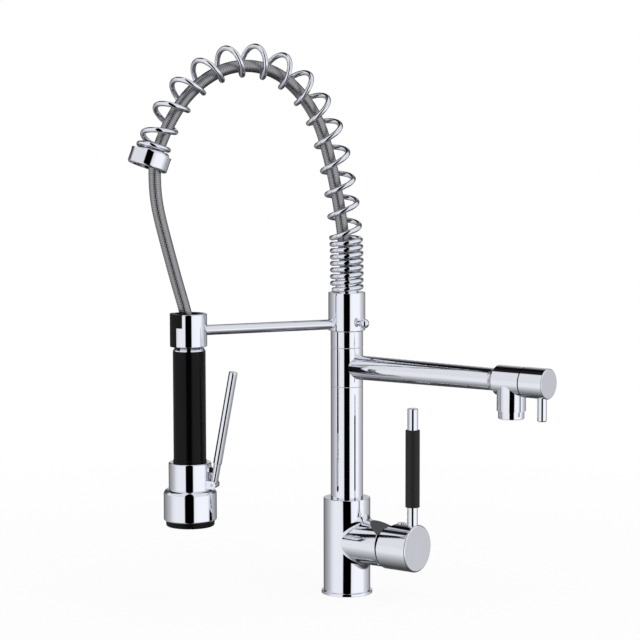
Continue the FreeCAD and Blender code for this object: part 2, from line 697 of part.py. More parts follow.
def arch_place(distance):
    """The place of (x, z, heading) on the centreline at a distance above the spring seat."""
    if distance <= ARCH_STRAIGHT:
        return 0.0, seat_top + distance, 0.0
    left = distance - ARCH_STRAIGHT
    for place, (arc_radius, arc_turn) in zip(arch_places, ARCH_ARCS):
        length = arc_radius * math.radians(arc_turn)
        if left <= length:
            return step_along(place, arc_radius, math.degrees(left / arc_radius))
        left -= length
    tip = arch_end + arch_way * left
    return tip.x, tip.z, arch_heading


# Spring wire: tight turns, open turns closer on the rise than over the arch, then closing turns that end in
# the collar's cup
wire_r = SPRING_D / 2 - WIRE_D / 2
first_coil = WIRE_D / 2 + FACE_GAP
last_coil = spring_length - first_coil
tight_l = TIGHT_TURNS * TIGHT_PITCH
closing_l = CLOSING_TURNS * CLOSING_PITCH
rising_l = RISING_TURNS * RISING_PITCH
open_l = last_coil - first_coil - tight_l - rising_l - closing_l
coil_runs = (
    (TIGHT_TURNS, tight_l),
    (RISING_TURNS, rising_l),
    (OPEN_TURNS, open_l),
    (CLOSING_TURNS, closing_l),
)
coil_turns = sum(run_turns for run_turns, run_length in coil_runs)


def coil_point(turns, distance):
    """A point on the spring's mean cylinder. Zero turns is on the inner side of the arch."""
    x, z, heading = arch_place(distance)
    angle = 2 * math.pi * turns
    out = inner_way(heading) * math.cos(angle) + Y * math.sin(angle)
    return point(x, 0, z) + out * wire_r


def wire_point(turns):
    distance = first_coil
    left = turns
    for run_turns, run_length in coil_runs:
        share = min(max(left / run_turns, 0), 1)
        distance += run_length * share
        left -= run_turns
    return coil_point(turns, distance)


TANGENT_STEP = 0.01


def wire_way(turns):
    return (wire_point(turns + TANGENT_STEP) - wire_point(turns - TANGENT_STEP)).normalize()


def arc_between(start, way, end):
    """An arc that leaves a start point along a direction and reaches an end point."""
    chord = end - start
    alpha = way.getAngle(chord)
    normal = (way * chord.Length - chord * math.cos(alpha)).normalize()
    radius = chord.Length / (2 * math.sin(alpha))
    middle = start + chord * 0.5 + normal * (radius * (1 - math.cos(alpha)))
    return Part.Arc(start, middle, end).toShape()


def biarc(start, start_way, end, end_way):
    """Two arcs that meet tangentially and join two points with given directions."""
    ways = start_way + end_way
    span = end - start
    spread = 2 * (1 - start_way.dot(end_way))
    along = span.dot(ways)
    reach = (-along + math.sqrt(along ** 2 + spread * span.dot(span))) / spread
    first = start + start_way * reach
    second = end - end_way * reach
    middle = (first + second) * 0.5
    middle_way = (second - first).normalize()
    return [arc_between(start, start_way, middle), arc_between(middle, middle_way, end)]


end_turn = WIRE_END_TURN / 360
wire_deep = WIRE_POCKET + WIRE_D
floor_distance = spring_length + WIRE_POCKET
wire_start = coil_point(-end_turn, -wire_deep)
wire_rise = coil_point(-end_turn, -WIRE_POCKET)
wire_fall = coil_point(coil_turns + end_turn, floor_distance)
wire_stop = coil_point(coil_turns + end_turn, floor_distance + WIRE_D)
wire_edges = [Part.LineSegment(wire_start, wire_rise).toShape()]
wire_edges += biarc(wire_rise, Z, wire_point(0), wire_way(0))
quarter_turns = int(round(coil_turns * 4))
for quarter in range(quarter_turns):
    here = quarter / 4
    there = (quarter + 1) / 4
    wire_edges += biarc(wire_point(here), wire_way(here), wire_point(there), wire_way(there))
wire_edges += biarc(wire_point(coil_turns), wire_way(coil_turns), wire_fall, arch_way)
wire_edges.append(Part.LineSegment(wire_fall, wire_stop).toShape())


def swept(path_edges, diameter, start, way):
    """A round bar along a path of tangent lines and arcs."""
    profile = Part.Wire(Part.makeCircle(diameter / 2, start, way))
    return Part.Wire(path_edges).makePipeShell([profile], True, False)


def path_length(path_edges):
    return sum(edge.Length for edge in path_edges)


def print_volume(name, shape, path_edges, diameter):
    expected = path_length(path_edges) * math.pi * diameter ** 2 / 4
    print(name, "volume", round(shape.Volume), "section times length", round(expected))


SELF_GAP_STEPS = 24


def self_gap():
    """The least gap between turns of the wire, measured on points half a turn or more apart."""
    count = int(coil_turns * SELF_GAP_STEPS)
    points = [wire_point(i / SELF_GAP_STEPS) for i in range(count + 1)]
    gap = SPRING_D
    for i, here in enumerate(points):
        for there in points[i + SELF_GAP_STEPS // 2:]:
            gap = min(gap, here.distanceToPoint(there) - WIRE_D)
    return gap


spring = swept(wire_edges, WIRE_D, wire_start, Z)
print_volume("spring", spring, wire_edges, WIRE_D)
print("spring least gap to itself", round(self_gap(), 2))

# Where the wire ends sit: a cut that follows the bend and the straight end with a little room
wire_seat_d = WIRE_D + 2 * WIRE_HOLE_GAP
start_cut = swept(wire_edges[:3], wire_seat_d, wire_start, Z)
end_cut = swept(wire_edges[-3:], wire_seat_d, wire_point(coil_turns), wire_way(coil_turns))

seat = rod(arm_sleeve_d, seat_bottom, seat_top)
seat = round_rim(seat, RIM_ROUND, arm_sleeve_d, Z * seat_top)
seat = seat.fuse(rod(SEAT_SPIGOT_D, seat_top, seat_top + SEAT_SPIGOT_H))
seat = seat.cut(rod(HOSE_HOLE_D, seat_bottom, seat_top))
seat = seat.cut(rod(SEAT_SPIGOT_BORE, seat_top, seat_top + SEAT_SPIGOT_H))
seat = seat.cut(start_cut)
arm_save("spring_seat", seat)
arm_save("spring", spring)

# Hose in the spring: it leans to the inner side of the arch, and turns upright out of the collar
first_radius, first_turn = ARCH_ARCS[0]
first_cos = math.cos(math.radians(first_turn))
hose_radii = [first_radius + HOSE_OFFSET * first_cos / (1 - first_cos)]
hose_radii += [radius - HOSE_OFFSET for radius, turn in ARCH_ARCS[1:]]
hose_turns = [turn for radius, turn in ARCH_ARCS]
hose_radii.append(HOSE_EXIT_R)
hose_turns.append(180 - arch_heading)
joint_x, joint_z, joint_heading = arch_places[1]
joint_at = point(joint_x, 0, joint_z) + inner_way(joint_heading) * HOSE_OFFSET
hose_bottom = joint_at.z - hose_radii[0] * math.sin(math.radians(first_turn))
hose_place = (0.0, hose_bottom, 0.0)
hose_edges = []
for hose_radius, hose_turn in zip(hose_radii, hose_turns):
    half_place = step_along(hose_place, hose_radius, hose_turn / 2)
    end_place = step_along(hose_place, hose_radius, hose_turn)
    stops = [point(x, 0, z) for x, z, heading in (hose_place, half_place, end_place)]
    hose_edges.append(Part.Arc(*stops).toShape())
    hose_place = end_place
hose_exit = point(hose_place[0], 0, hose_place[1])
hose_turn_start = arch_end + arch_inner * HOSE_OFFSET
hose_upper = swept(hose_edges, HOSE_D, Z * hose_bottom, Z)
print_volume("hose_upper", hose_upper, hose_edges, HOSE_D)
arm_save("hose_upper", hose_upper)

# Spring collar: a cup for the last turns, with a floor that the hose passes through
collar_start = COLLAR_CUP - COLLAR_L
collar = rod(COLLAR_D, collar_start, COLLAR_CUP)
collar = round_rim(collar, COLLAR_ROUND, COLLAR_D, Z * collar_start)
collar = collar.cut(rod(COLLAR_FOOT_D, collar_start, collar_start + COLLAR_FOOT_H))
collar = collar.fuse(rod(COLLAR_LIP_D, COLLAR_CUP - COLLAR_LIP_H, COLLAR_CUP))
collar = collar.cut(rod(COLLAR_BORE, 0, COLLAR_CUP))
collar.rotate(ORIGIN, Y, arch_heading + 180)
collar.translate(arch_end + arch_way * SPRING_TAIL)
collar = collar.cut(end_cut)
hose_hole = swept(hose_edges[-1:], HOSE_HOLE_D, hose_turn_start, arch_way)
collar = collar.cut(hose_hole)
arm_save("spring_collar", collar)

# Free hose: from the collar down to the ferrule in the wand's neck
route = [hose_exit] + [hose_exit + point(x, 0, z) for x, z in FREE_ROUTE]
wand_lift = dock_bottom - BAND_GAP - BAND_TOP
neck_floor_top = NECK_TOP - NECK_DEPTH
ferrule_bottom = neck_floor_top + LOOSE
ferrule_top = ferrule_bottom + FERRULE_H
ferrule_at = point(DOCK_REACH, 0, ferrule_top + wand_lift)
route += [ferrule_at + point(x, 0, z) for x, z in ROUTE_LAST] + [ferrule_at]
free_edges = []
free_radii = []
run_start = route[0]
for before, corner, after in zip(route, route[1:], route[2:]):
    way_in = (corner - before).normalize()
    way_out = (after - corner).normalize()
    half_turn = way_in.getAngle(way_out) / 2
    cut = ARC_SHARE * min(before.distanceToPoint(corner), corner.distanceToPoint(after))
    radius = cut / math.tan(half_turn)
    free_radii.append(round(radius))
    arc_start = corner - way_in * cut
    arc_end = corner + way_out * cut
    free_edges.append(Part.LineSegment(run_start, arc_start).toShape())
    free_edges.append(arc_between(arc_start, way_in, arc_end))
    run_start = arc_end
free_edges.append(Part.LineSegment(run_start, route[-1]).toShape())
hose_free = swept(free_edges, HOSE_D, route[0], (route[1] - route[0]).normalize())
print("free hose radii", free_radii)
print_volume("hose_free", hose_free, free_edges, HOSE_D)
arm_save("hose_free", hose_free)

# Wand, drawn about Z and moved to the dock
azimuth = math.radians(ARM_AZIMUTH)
wand_at = point(DOCK_REACH * math.cos(azimuth), DOCK_REACH * math.sin(azimuth), wand_lift)


def wand_save(name, shape):
    shape.rotate(ORIGIN, Z, TRIGGER_AZIMUTH)
    shape.translate(wand_at)
    save(name, shape)


def wand_group(name, shapes):
    wand_save(name, Part.makeCompound(shapes))


floor_bottom = neck_floor_top - NECK_FLOOR_H
ferrule = rod(FERRULE_D, ferrule_bottom, ferrule_top)
ferrule = ferrule.fuse(rod(FERRULE_NECK_D, ferrule_bottom - FERRULE_NECK_L, ferrule_bottom))
wand_save("hose_ferrule", ferrule)
clip_top = floor_bottom - LOOSE
wand_save("ferrule_clip", tube(CLIP_D, FERRULE_NECK_D + 2 * FIT, clip_top - CLIP_H, clip_top))

neck = turned(
    [
        (0, NECK_TAIL_BOTTOM),
        (NECK_TAIL_D / 2, NECK_TAIL_BOTTOM),
        (NECK_TAIL_D / 2, BAND_BOTTOM),
        (GRIP_D / 2, BAND_BOTTOM),
        (BAND_TOP_D / 2, BAND_TOP),
        (NECK_D / 2, BAND_TOP),
        (NECK_D / 2, NECK_TOP),
        (0, NECK_TOP),
    ]
)
neck = round_rim(neck, RIM_ROUND, NECK_D, Z * NECK_TOP)
neck = neck.cut(rod(NECK_BORE, neck_floor_top, NECK_TOP))
neck = neck.cut(rod(FERRULE_NECK_D + 2 * RUNNING, floor_bottom, neck_floor_top))
neck = neck.cut(rod(NECK_LOWER_BORE, NECK_TAIL_BOTTOM, floor_bottom))
wand_save("wand_neck", neck)

grip = rod(GRIP_D, GRIP_BOTTOM, BAND_BOTTOM)
lip_top = GRIP_BOTTOM + GRIP_LIP_H
grip_lip = round_rim(rod(GRIP_LIP_D, GRIP_BOTTOM, lip_top), RIM_ROUND, GRIP_LIP_D, Z * lip_top)
grip = grip.fuse(grip_lip)
grip = grip.cut(rod(GRIP_BORE, GRIP_BOTTOM, BAND_BOTTOM))
grip = grip.cut(rod(NECK_TAIL_D + 2 * FIT, NECK_TAIL_BOTTOM, BAND_BOTTOM))
wand_save("wand_grip", grip)
core_tube_d = GRIP_BORE - 2 * FIT
wand_save("wand_core", tube(core_tube_d, CORE_TUBE_BORE, CORE_TUBE_BOTTOM, NECK_TAIL_BOTTOM))

# Bell, spray face and nozzles
bell_top = GRIP_BOTTOM - COLLAR_RING_H
bell = rod(BELL_D, BELL_BOTTOM, bell_top)
bell = round_rim(bell, BELL_ROUND, BELL_D, Z * bell_top)
bell = round_rim(bell, BELL_FOOT_ROUND, BELL_D, Z * BELL_BOTTOM)
face_top = FACE_BOTTOM + FACE_H
bell = bell.cut(rod(FACE_D + 2 * FIT, BELL_BOTTOM, face_top))
bell_room = BELL_D - 2 * BELL_WALL - 2 * BELL_ROUND
bell = bell.cut(rod(bell_room, face_top, bell_top - BELL_WALL))
bell = bell.cut(rod(core_tube_d + 2 * FIT, face_top, bell_top))
wand_save("wand_bell", bell)
face = round_rim(rod(FACE_D, FACE_BOTTOM, face_top), FACE_ROUND, FACE_D, Z * FACE_BOTTOM)
nozzles = []
for ring_radius, count in zip(NOZZLE_RING_RADII, NOZZLE_RING_COUNTS):
    for x, y in on_circle(ring_radius, count):
        nozzle_at = point(x, y, 0)
        face = face.cut(rod(NOZZLE_D + 2 * FIT, FACE_BOTTOM, face_top, Z, nozzle_at))
        nozzles.append(rod(NOZZLE_D, FACE_BOTTOM - NOZZLE_RISE, face_top, Z, nozzle_at))
wand_save("spray_face", face)
wand_group("spray_nozzles", nozzles)

# Collar ring with the trigger's cheeks and the plunger's boss
ring = rod(COLLAR_RING_D, bell_top, GRIP_BOTTOM)
ring = round_rim(ring, COLLAR_RING_ROUND, COLLAR_RING_D, Z * GRIP_BOTTOM)
pivot_at = point(TRIGGER_R, 0, TRIGGER_Z)
plunger_at = Z * PLUNGER_Z
cheek_inner = TRIGGER_EYE_W / 2 + FACE_GAP
for side in (-1, 1):
    cheek_at = pivot_at + Y * (cheek_inner + CHEEK_W / 2) * side
    cheek = rod(2 * CHEEK_ROUND, -CHEEK_W / 2, CHEEK_W / 2, Y, cheek_at)
    web_corner = point(0, cheek_at.y - CHEEK_W / 2, TRIGGER_Z - CHEEK_ROUND)
    cheek = cheek.fuse(Part.makeBox(TRIGGER_R, CHEEK_W, 2 * CHEEK_ROUND, web_corner))
    ring = ring.fuse(cheek)
ring = ring.fuse(rod(PLUNGER_BOSS_D, 0, PLUNGER_BOSS_R, X, plunger_at))
ring = ring.cut(rod(core_tube_d + 2 * FIT, bell_top, GRIP_BOTTOM))
pin_half = cheek_inner + CHEEK_W
ring = ring.cut(rod(TRIGGER_PIN_D + 2 * FIT, -pin_half, pin_half, Y, pivot_at))
ring = ring.cut(rod(PLUNGER_D + 2 * RUNNING, 0, PLUNGER_BOSS_R, X, plunger_at))
wand_save("wand_collar", ring.removeSplitter())
wand_save("trigger_pin", rod(TRIGGER_PIN_D, -pin_half, pin_half, Y, pivot_at))

# Trigger lever and plunger
trigger_way = point(math.sin(math.radians(TRIGGER_TILT)), 0, math.cos(math.radians(TRIGGER_TILT)))
trigger = rod(TRIGGER_GRIP_D, TRIGGER_GRIP_START, TRIGGER_L, trigger_way, pivot_at)
trigger = round_rim(trigger, LEVER_ROUND, TRIGGER_GRIP_D, pivot_at + trigger_way * TRIGGER_L)
trigger = round_rim(trigger, RIM_ROUND, TRIGGER_GRIP_D, pivot_at + trigger_way * TRIGGER_GRIP_START)
trigger = trigger.fuse(rod(TRIGGER_D, 0, TRIGGER_GRIP_START, trigger_way, pivot_at))
trigger = trigger.fuse(rod(TRIGGER_EYE_D, -TRIGGER_EYE_W / 2, TRIGGER_EYE_W / 2, Y, pivot_at))
trigger = trigger.cut(rod(TRIGGER_PIN_D + 2 * RUNNING, -TRIGGER_EYE_W, TRIGGER_EYE_W, Y, pivot_at))
wand_save("trigger_lever", trigger)
lean = tan_deg(TRIGGER_TILT)
rod_face = TRIGGER_R + (PLUNGER_Z - TRIGGER_Z) * lean - TRIGGER_D / 2 / math.cos(math.radians(TRIGGER_TILT))
plunger_tip = rod_face - LOOSE - PLUNGER_D / 2 * lean
wand_save("trigger_plunger", rod(PLUNGER_D, PLUNGER_INNER_R, plunger_tip, X, plunger_at))
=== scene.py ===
import math
import bmesh
import bpy
from mathutils import Matrix, Vector


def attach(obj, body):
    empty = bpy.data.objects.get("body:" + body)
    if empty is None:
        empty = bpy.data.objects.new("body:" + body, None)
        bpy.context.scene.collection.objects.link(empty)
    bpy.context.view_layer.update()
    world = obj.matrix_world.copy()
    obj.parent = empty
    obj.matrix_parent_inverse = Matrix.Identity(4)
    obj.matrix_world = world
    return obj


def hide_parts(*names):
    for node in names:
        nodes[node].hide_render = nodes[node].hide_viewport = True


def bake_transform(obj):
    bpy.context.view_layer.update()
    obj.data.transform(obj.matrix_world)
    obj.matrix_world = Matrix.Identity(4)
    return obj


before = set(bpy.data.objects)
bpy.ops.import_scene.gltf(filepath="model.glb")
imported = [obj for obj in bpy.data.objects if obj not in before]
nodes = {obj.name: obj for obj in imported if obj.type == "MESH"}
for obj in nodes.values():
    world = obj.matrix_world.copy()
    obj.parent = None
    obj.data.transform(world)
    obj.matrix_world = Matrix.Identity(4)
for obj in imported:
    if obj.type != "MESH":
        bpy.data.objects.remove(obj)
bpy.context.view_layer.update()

# Base ring: the flange that stands on the deck under the mixer body. It is turned from brass, with a small
# round at its rim, and chrome plated like all the bright pieces. The pieces' sizes are in mm.
MM = 0.001


def linear(hex_colour):
    """An sRGB hex colour as linear RGBA."""
    channels = [int(hex_colour[i:i + 2], 16) / 255 for i in (1, 3, 5)]
    return [c / 12.92 if c <= 0.04045 else ((c + 0.055) / 1.055) ** 2.4 for c in channels] + [1.0]


def add_node(tree, kind, settings=None, links=None):
    """Adds a node, sets its values and links its inputs to the given outputs."""
    node = tree.nodes.new(kind)
    for key, value in (settings or {}).items():
        if isinstance(key, int) or key in node.inputs:
            node.inputs[key].default_value = value
        else:
            setattr(node, key, value)
    for key, output in (links or {}).items():
        tree.links.new(output, node.inputs[key])
    return node


def new_material(name):
    """A new material with its node tree and its shader."""
    material = bpy.data.materials.new(name)
    material.use_nodes = True
    return material, material.node_tree, material.node_tree.nodes["Principled BSDF"]


# Bright chrome plate over nickel, polished on a wheel: to the eye a mirror with a faint blue cast, in which
# only the wheel's soft clouds blur the reflections a little.
POLISH_CLOUD_MM = 9.0
POLISH = {"From Min": 0.3, "From Max": 0.7, "To Min": 0.02, "To Max": 0.06}
chrome_plate, tree, shader = new_material("polished_chrome_plate")
shader.inputs["Base Color"].default_value = linear("#EAECF5")
shader.inputs["Metallic"].default_value = 1.0
place = add_node(tree, "ShaderNodeTexCoord").outputs["Object"]
cloud_scale = {"Scale": 1 / (POLISH_CLOUD_MM * MM), "Detail": 4.0}
clouds = add_node(tree, "ShaderNodeTexNoise", cloud_scale, {"Vector": place})
polish = add_node(tree, "ShaderNodeMapRange", POLISH, {"Value": clouds.outputs["Fac"]})
tree.links.new(polish.outputs["Result"], shader.inputs["Roughness"])


def dress(piece, material):
    """Gives a piece one material."""
    piece.data.materials.clear()
    piece.data.materials.append(material)
    return piece


ROUND_STEPS = 12
SMOOTH_ANGLE = math.radians(35)


def rounded_outline(corners):
    """The points of an outline of (radius, height, rounding) corners, with an arc at each rounding."""
    points = []
    for i, corner in enumerate(corners):
        here = Vector(corner[:2])
        rounding = corner[2] if len(corner) > 2 else 0
        if not rounding:
            points.append(here)
            continue
        back = (Vector(corners[i - 1][:2]) - here).normalized()
        ahead = (Vector(corners[i + 1][:2]) - here).normalized()
        half = back.angle(ahead) / 2
        centre = here + (back + ahead).normalized() * (rounding / math.sin(half))
        start = here + back * (rounding / math.tan(half)) - centre
        end = here + ahead * (rounding / math.tan(half)) - centre
        for step in range(ROUND_STEPS + 1):
            points.append(centre + start.slerp(end, step / ROUND_STEPS) * rounding)
    return points


def finish_mesh(name, shape, at=(0, 0, 0), along=(0, 0, 1)):
    """Turns a bmesh made about Z to its axis, and gives it smooth faces and crisp corners."""
    mesh = bpy.data.meshes.new(name)
    shape.to_mesh(mesh)
    shape.free()
    turn = Vector((0, 0, 1)).rotation_difference(Vector(along)).to_matrix().to_4x4()
    mesh.transform(Matrix.Translation(Vector(at) * MM) @ turn)
    mesh.shade_smooth()
    mesh.set_sharp_from_angle(angle=SMOOTH_ANGLE)
    piece = bpy.data.objects.new(name, mesh)
    bpy.context.scene.collection.objects.link(piece)
    weighted = piece.modifiers.new("even_shading", "WEIGHTED_NORMAL")
    weighted.keep_sharp = True
    return piece


def lathe(name, corners, at=(0, 0, 0), along=(0, 0, 1), sides=96):
    """A turned piece, from the half outline of (radius, height, rounding) corners in mm."""
    shape = bmesh.new()
    angles = [2 * math.pi * i / sides for i in range(sides)]
    rings = []
    for radius, height in rounded_outline(corners):
        z = height * MM
        if not radius:
            rings.append([shape.verts.new((0, 0, z))])
            continue
        spots = [(radius * MM * math.cos(a), radius * MM * math.sin(a), z) for a in angles]
        rings.append([shape.verts.new(spot) for spot in spots])
    for low, high in zip(rings, rings[1:]):
        for i in range(sides):
            j = (i + 1) % sides
            quad = [low[i % len(low)], low[j % len(low)], high[j % len(high)], high[i % len(high)]]
            face_corners = list(dict.fromkeys(quad))
            if len(face_corners) > 2:
                shape.faces.new(face_corners)
    bmesh.ops.recalc_face_normals(shape, faces=shape.faces)
    return finish_mesh(name, shape, at, along)


def fit(piece, body, material, slot, *replaced):
    """Dresses a piece, rides it on its body and lets it stand for its CAD nodes, if it has any."""
    dress(piece, material)
    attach(piece, body)
    if replaced:
        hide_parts(*replaced)
    return piece


BASE_R = 24.5
BASE_H = 3.0
BASE_BORE_R = 17.0
BASE_FOOT_ROUND = 0.3
BASE_RIM_ROUND = 0.7
base_outline = [
    (BASE_BORE_R, 0),
    (BASE_R, 0, BASE_FOOT_ROUND),
    (BASE_R, BASE_H, BASE_RIM_ROUND),
    (BASE_BORE_R, BASE_H),
]
base = lathe("base_flange", base_outline)
fit(base, "column", chrome_plate, "chrome", "base_ring")

# Mixer body and housing cover: the upright body with the cartridge's housing on its side, and the cover that
# closes the housing. Both are brass castings, turned outside and plated. Their corner is cast round: a ball
# of that radius, rolled along the corner, gives the strip that is laid over the solids here.
for name in ("mixer_body", "mixer_cover"):
    dress(nodes[name], chrome_plate)
BODY_R = 22.5
HOUSING_R = 21.4
MIXER_Z = 52.0
CASTING_ROUND = 6.0
AROUND_STEPS = 180
corner_shape = bmesh.new()
bands = []
for step in range(AROUND_STEPS):
    angle = 2 * math.pi * step / AROUND_STEPS
    ball_y = (HOUSING_R + CASTING_ROUND) * math.cos(angle)
    ball_z = (HOUSING_R + CASTING_ROUND) * math.sin(angle)
    ball_x = math.sqrt((BODY_R + CASTING_ROUND) ** 2 - ball_y ** 2)
    ball = Vector((ball_x, ball_y, ball_z))
    to_body = -Vector((ball_x, ball_y, 0)).normalized()
    to_housing = -Vector((0, ball_y, ball_z)).normalized()
    touches = [to_body.slerp(to_housing, i / ROUND_STEPS) for i in range(ROUND_STEPS + 1)]
    bands.append([corner_shape.verts.new((ball + touch * CASTING_ROUND) * MM) for touch in touches])
for step, band in enumerate(bands):
    last_band = bands[step - 1]
    for i in range(ROUND_STEPS):
        corner_shape.faces.new((last_band[i], band[i], band[i + 1], last_band[i + 1]))
bmesh.ops.recalc_face_normals(corner_shape, faces=corner_shape.faces)
casting_corner = finish_mesh("mixer_casting_corner", corner_shape, (0, 0, MIXER_Z))
fit(casting_corner, "column", chrome_plate, "chrome")

# Handle cap: a zinc casting, plated, that a grub screw holds on the cartridge's stem. Its back is sloped,
# which leaves room to lean it towards the column.
dress(nodes["handle_cap"], chrome_plate)

# Lever: a plated brass rod set in the cap, with a black rubber sleeve pushed over its middle.
# Beside it sits the plated plug that covers the cap's grub screw.
LEVER_X = 76.7
LEVER_R = 5.1
LEVER_FOOT = 64.0
LEVER_TOP = 185.3
LEVER_ROUND = 1.4
lever_at = (LEVER_X, 0, 0)
lever_outline = [(LEVER_R, LEVER_FOOT), (LEVER_R, LEVER_TOP, LEVER_ROUND), (0, LEVER_TOP)]
lever = lathe("lever", lever_outline, lever_at)
fit(lever, "handle", chrome_plate, "chrome", "lever_rod")

# Matt black rubber, moulded in a fine-blasted tool: to the eye a soft dark skin with a dull, spread sheen.
# Its grain is drawn at 0.5 mm, coarser than the real one, so that it shows.
RUBBER_GRAIN_MM = 0.5
RUBBER_RELIEF_MM = 0.1
sleeve_rubber, tree, shader = new_material("matt_black_rubber")
shader.inputs["Base Color"].default_value = linear("#17181A")
place = add_node(tree, "ShaderNodeTexCoord").outputs["Object"]
grain_scale = {"Scale": 1 / (RUBBER_GRAIN_MM * MM), "Detail": 3.0}
grain = add_node(tree, "ShaderNodeTexNoise", grain_scale, {"Vector": place})
relief = {"Strength": 0.05, "Distance": RUBBER_RELIEF_MM * MM}
bump = add_node(tree, "ShaderNodeBump", relief, {"Height": grain.outputs["Fac"]})
tree.links.new(bump.outputs["Normal"], shader.inputs["Normal"])
dull = add_node(tree, "ShaderNodeMapRange", {"To Min": 0.5, "To Max": 0.66}, {"Value": grain.outputs["Fac"]})
tree.links.new(dull.outputs["Result"], shader.inputs["Roughness"])
SLEEVE_R = 6.8
SLEEVE_FOOT = 91.3
SLEEVE_TOP = 164.8
SLEEVE_ROUND = 0.5
rubber_outline = [
    (LEVER_R, SLEEVE_FOOT),
    (SLEEVE_R, SLEEVE_FOOT, SLEEVE_ROUND),
    (SLEEVE_R, SLEEVE_TOP, SLEEVE_ROUND),
    (LEVER_R, SLEEVE_TOP),
]
sleeve = lathe("lever_grip", rubber_outline, lever_at)
fit(sleeve, "handle", sleeve_rubber, "black_grip", "lever_sleeve")

SMALL_SIDES = 48
PLUG_X = 64.0
PLUG_R = 3.5
PLUG_FOOT = 66.0
PLUG_TOP = 75.3
PLUG_ROUND = 0.5
plug_outline = [(PLUG_R, PLUG_FOOT), (PLUG_R, PLUG_TOP, PLUG_ROUND), (0, PLUG_TOP)]
plug = lathe("cap_plug", plug_outline, (PLUG_X, 0, 0), sides=SMALL_SIDES)
fit(plug, "handle", chrome_plate, "chrome", "handle_plug")

# Riser tube and upper column: drawn brass tube, plated and pushed over the swivel core.
# The spout's hub turns between them, and a hairline seam shows at each of its ends.
TUBE_R = 15.5
TUBE_ROUND = 0.25
CORE_R = 12.1
RISER_BORE_R = 14.0
RISER_FOOT = 90.0
RISER_TOP = 200.7
riser_outline = [
    (RISER_BORE_R, RISER_FOOT),
    (TUBE_R, RISER_FOOT),
    (TUBE_R, RISER_TOP, TUBE_ROUND),
    (CORE_R, RISER_TOP),
]
riser = lathe("riser", riser_outline)
fit(riser, "column", chrome_plate, "chrome", "riser_tube")
UPPER_FOOT = 238.5
UPPER_TOP = 254.0
upper_outline = [
    (CORE_R, UPPER_FOOT),
    (TUBE_R, UPPER_FOOT, TUBE_ROUND),
    (TUBE_R, UPPER_TOP, TUBE_ROUND),
    (CORE_R, UPPER_TOP),
]
upper = lathe("upper_tube", upper_outline)
fit(upper, "column", chrome_plate, "chrome", "upper_column")

# Spout: a hub round the column, a long tapered arm and a valve body, made of brass, brazed and plated.
# A short flare leads the arm into the valve body.
for name in ("spout_arm", "valve_body"):
    dress(nodes[name], chrome_plate)

# Valve knob and its pin: turned from brass and plated. The knob is fixed on the valve's spindle at the
# spout's end, and the pin is pressed into it as a small lever.
SPOUT_Z = 219.5
KNOB_R = 14.0
KNOB_BORE_R = 4.1
KNOB_BACK = 201.0
KNOB_END = 225.5
KNOB_BACK_ROUND = 0.4
KNOB_END_ROUND = 1.0
knob_outline = [
    (KNOB_BORE_R, KNOB_BACK),
    (KNOB_R, KNOB_BACK, KNOB_BACK_ROUND),
    (KNOB_R, KNOB_END, KNOB_END_ROUND),
    (0, KNOB_END),
]
knob = lathe("knob", knob_outline, (0, 0, SPOUT_Z), (1, 0, 0))
fit(knob, "knob", chrome_plate, "chrome", "valve_knob")
PIN_X = 218.4
PIN_R = 4.4
PIN_BOTTOM = 184.8
PIN_TOP = 210.0
PIN_ROUND = 1.4
pin_outline = [(0, PIN_BOTTOM), (PIN_R, PIN_BOTTOM, PIN_ROUND), (PIN_R, PIN_TOP)]
pin = lathe("knob_lever", pin_outline, (PIN_X, 0, 0), sides=SMALL_SIDES)
fit(pin, "knob", chrome_plate, "chrome", "knob_pin")

# Aerator: a plated brass ring that is screwed into the outlet neck, round a moulded insert.
# Its rim shows below the neck, where it can be gripped to unscrew it.
OUTLET_X = 185.7
AERATOR_R = 12.0
AERATOR_BORE_R = 7.3
AERATOR_THREAD_R = 8.9
AERATOR_BOTTOM = 185.0
AERATOR_RIM_TOP = 192.2
AERATOR_TOP = 198.0
AERATOR_FOOT_ROUND = 0.6
AERATOR_RIM_ROUND = 0.3
aerator_outline = [
    (AERATOR_BORE_R, AERATOR_TOP),
    (AERATOR_BORE_R, AERATOR_BOTTOM),
    (AERATOR_R, AERATOR_BOTTOM, AERATOR_FOOT_ROUND),
    (AERATOR_R, AERATOR_RIM_TOP, AERATOR_RIM_ROUND),
    (AERATOR_THREAD_R, AERATOR_RIM_TOP),
]
aerator = lathe("aerator_ring", aerator_outline, (OUTLET_X, 0, 0))
fit(aerator, "spout", chrome_plate, "chrome", "aerator_housing")

# Spring arm: a sleeve with the spring's seat on top, turned from brass and plated, that turns on the column.
# It carries the rod and ring of the dock on one side, and a ball-headed screw on the other.
ARM_AZIMUTH = math.radians(-120)
arm_way = Vector((math.cos(ARM_AZIMUTH), math.sin(ARM_AZIMUTH), 0))
arm_side = Vector((0, 0, 1)).cross(arm_way)


def arm_point(reach, height, side=0.0):
    """A point in metres from its reach along the arm, its height and its side step, in mm."""
    return (arm_way * reach + arm_side * side + Vector((0, 0, height))) * MM


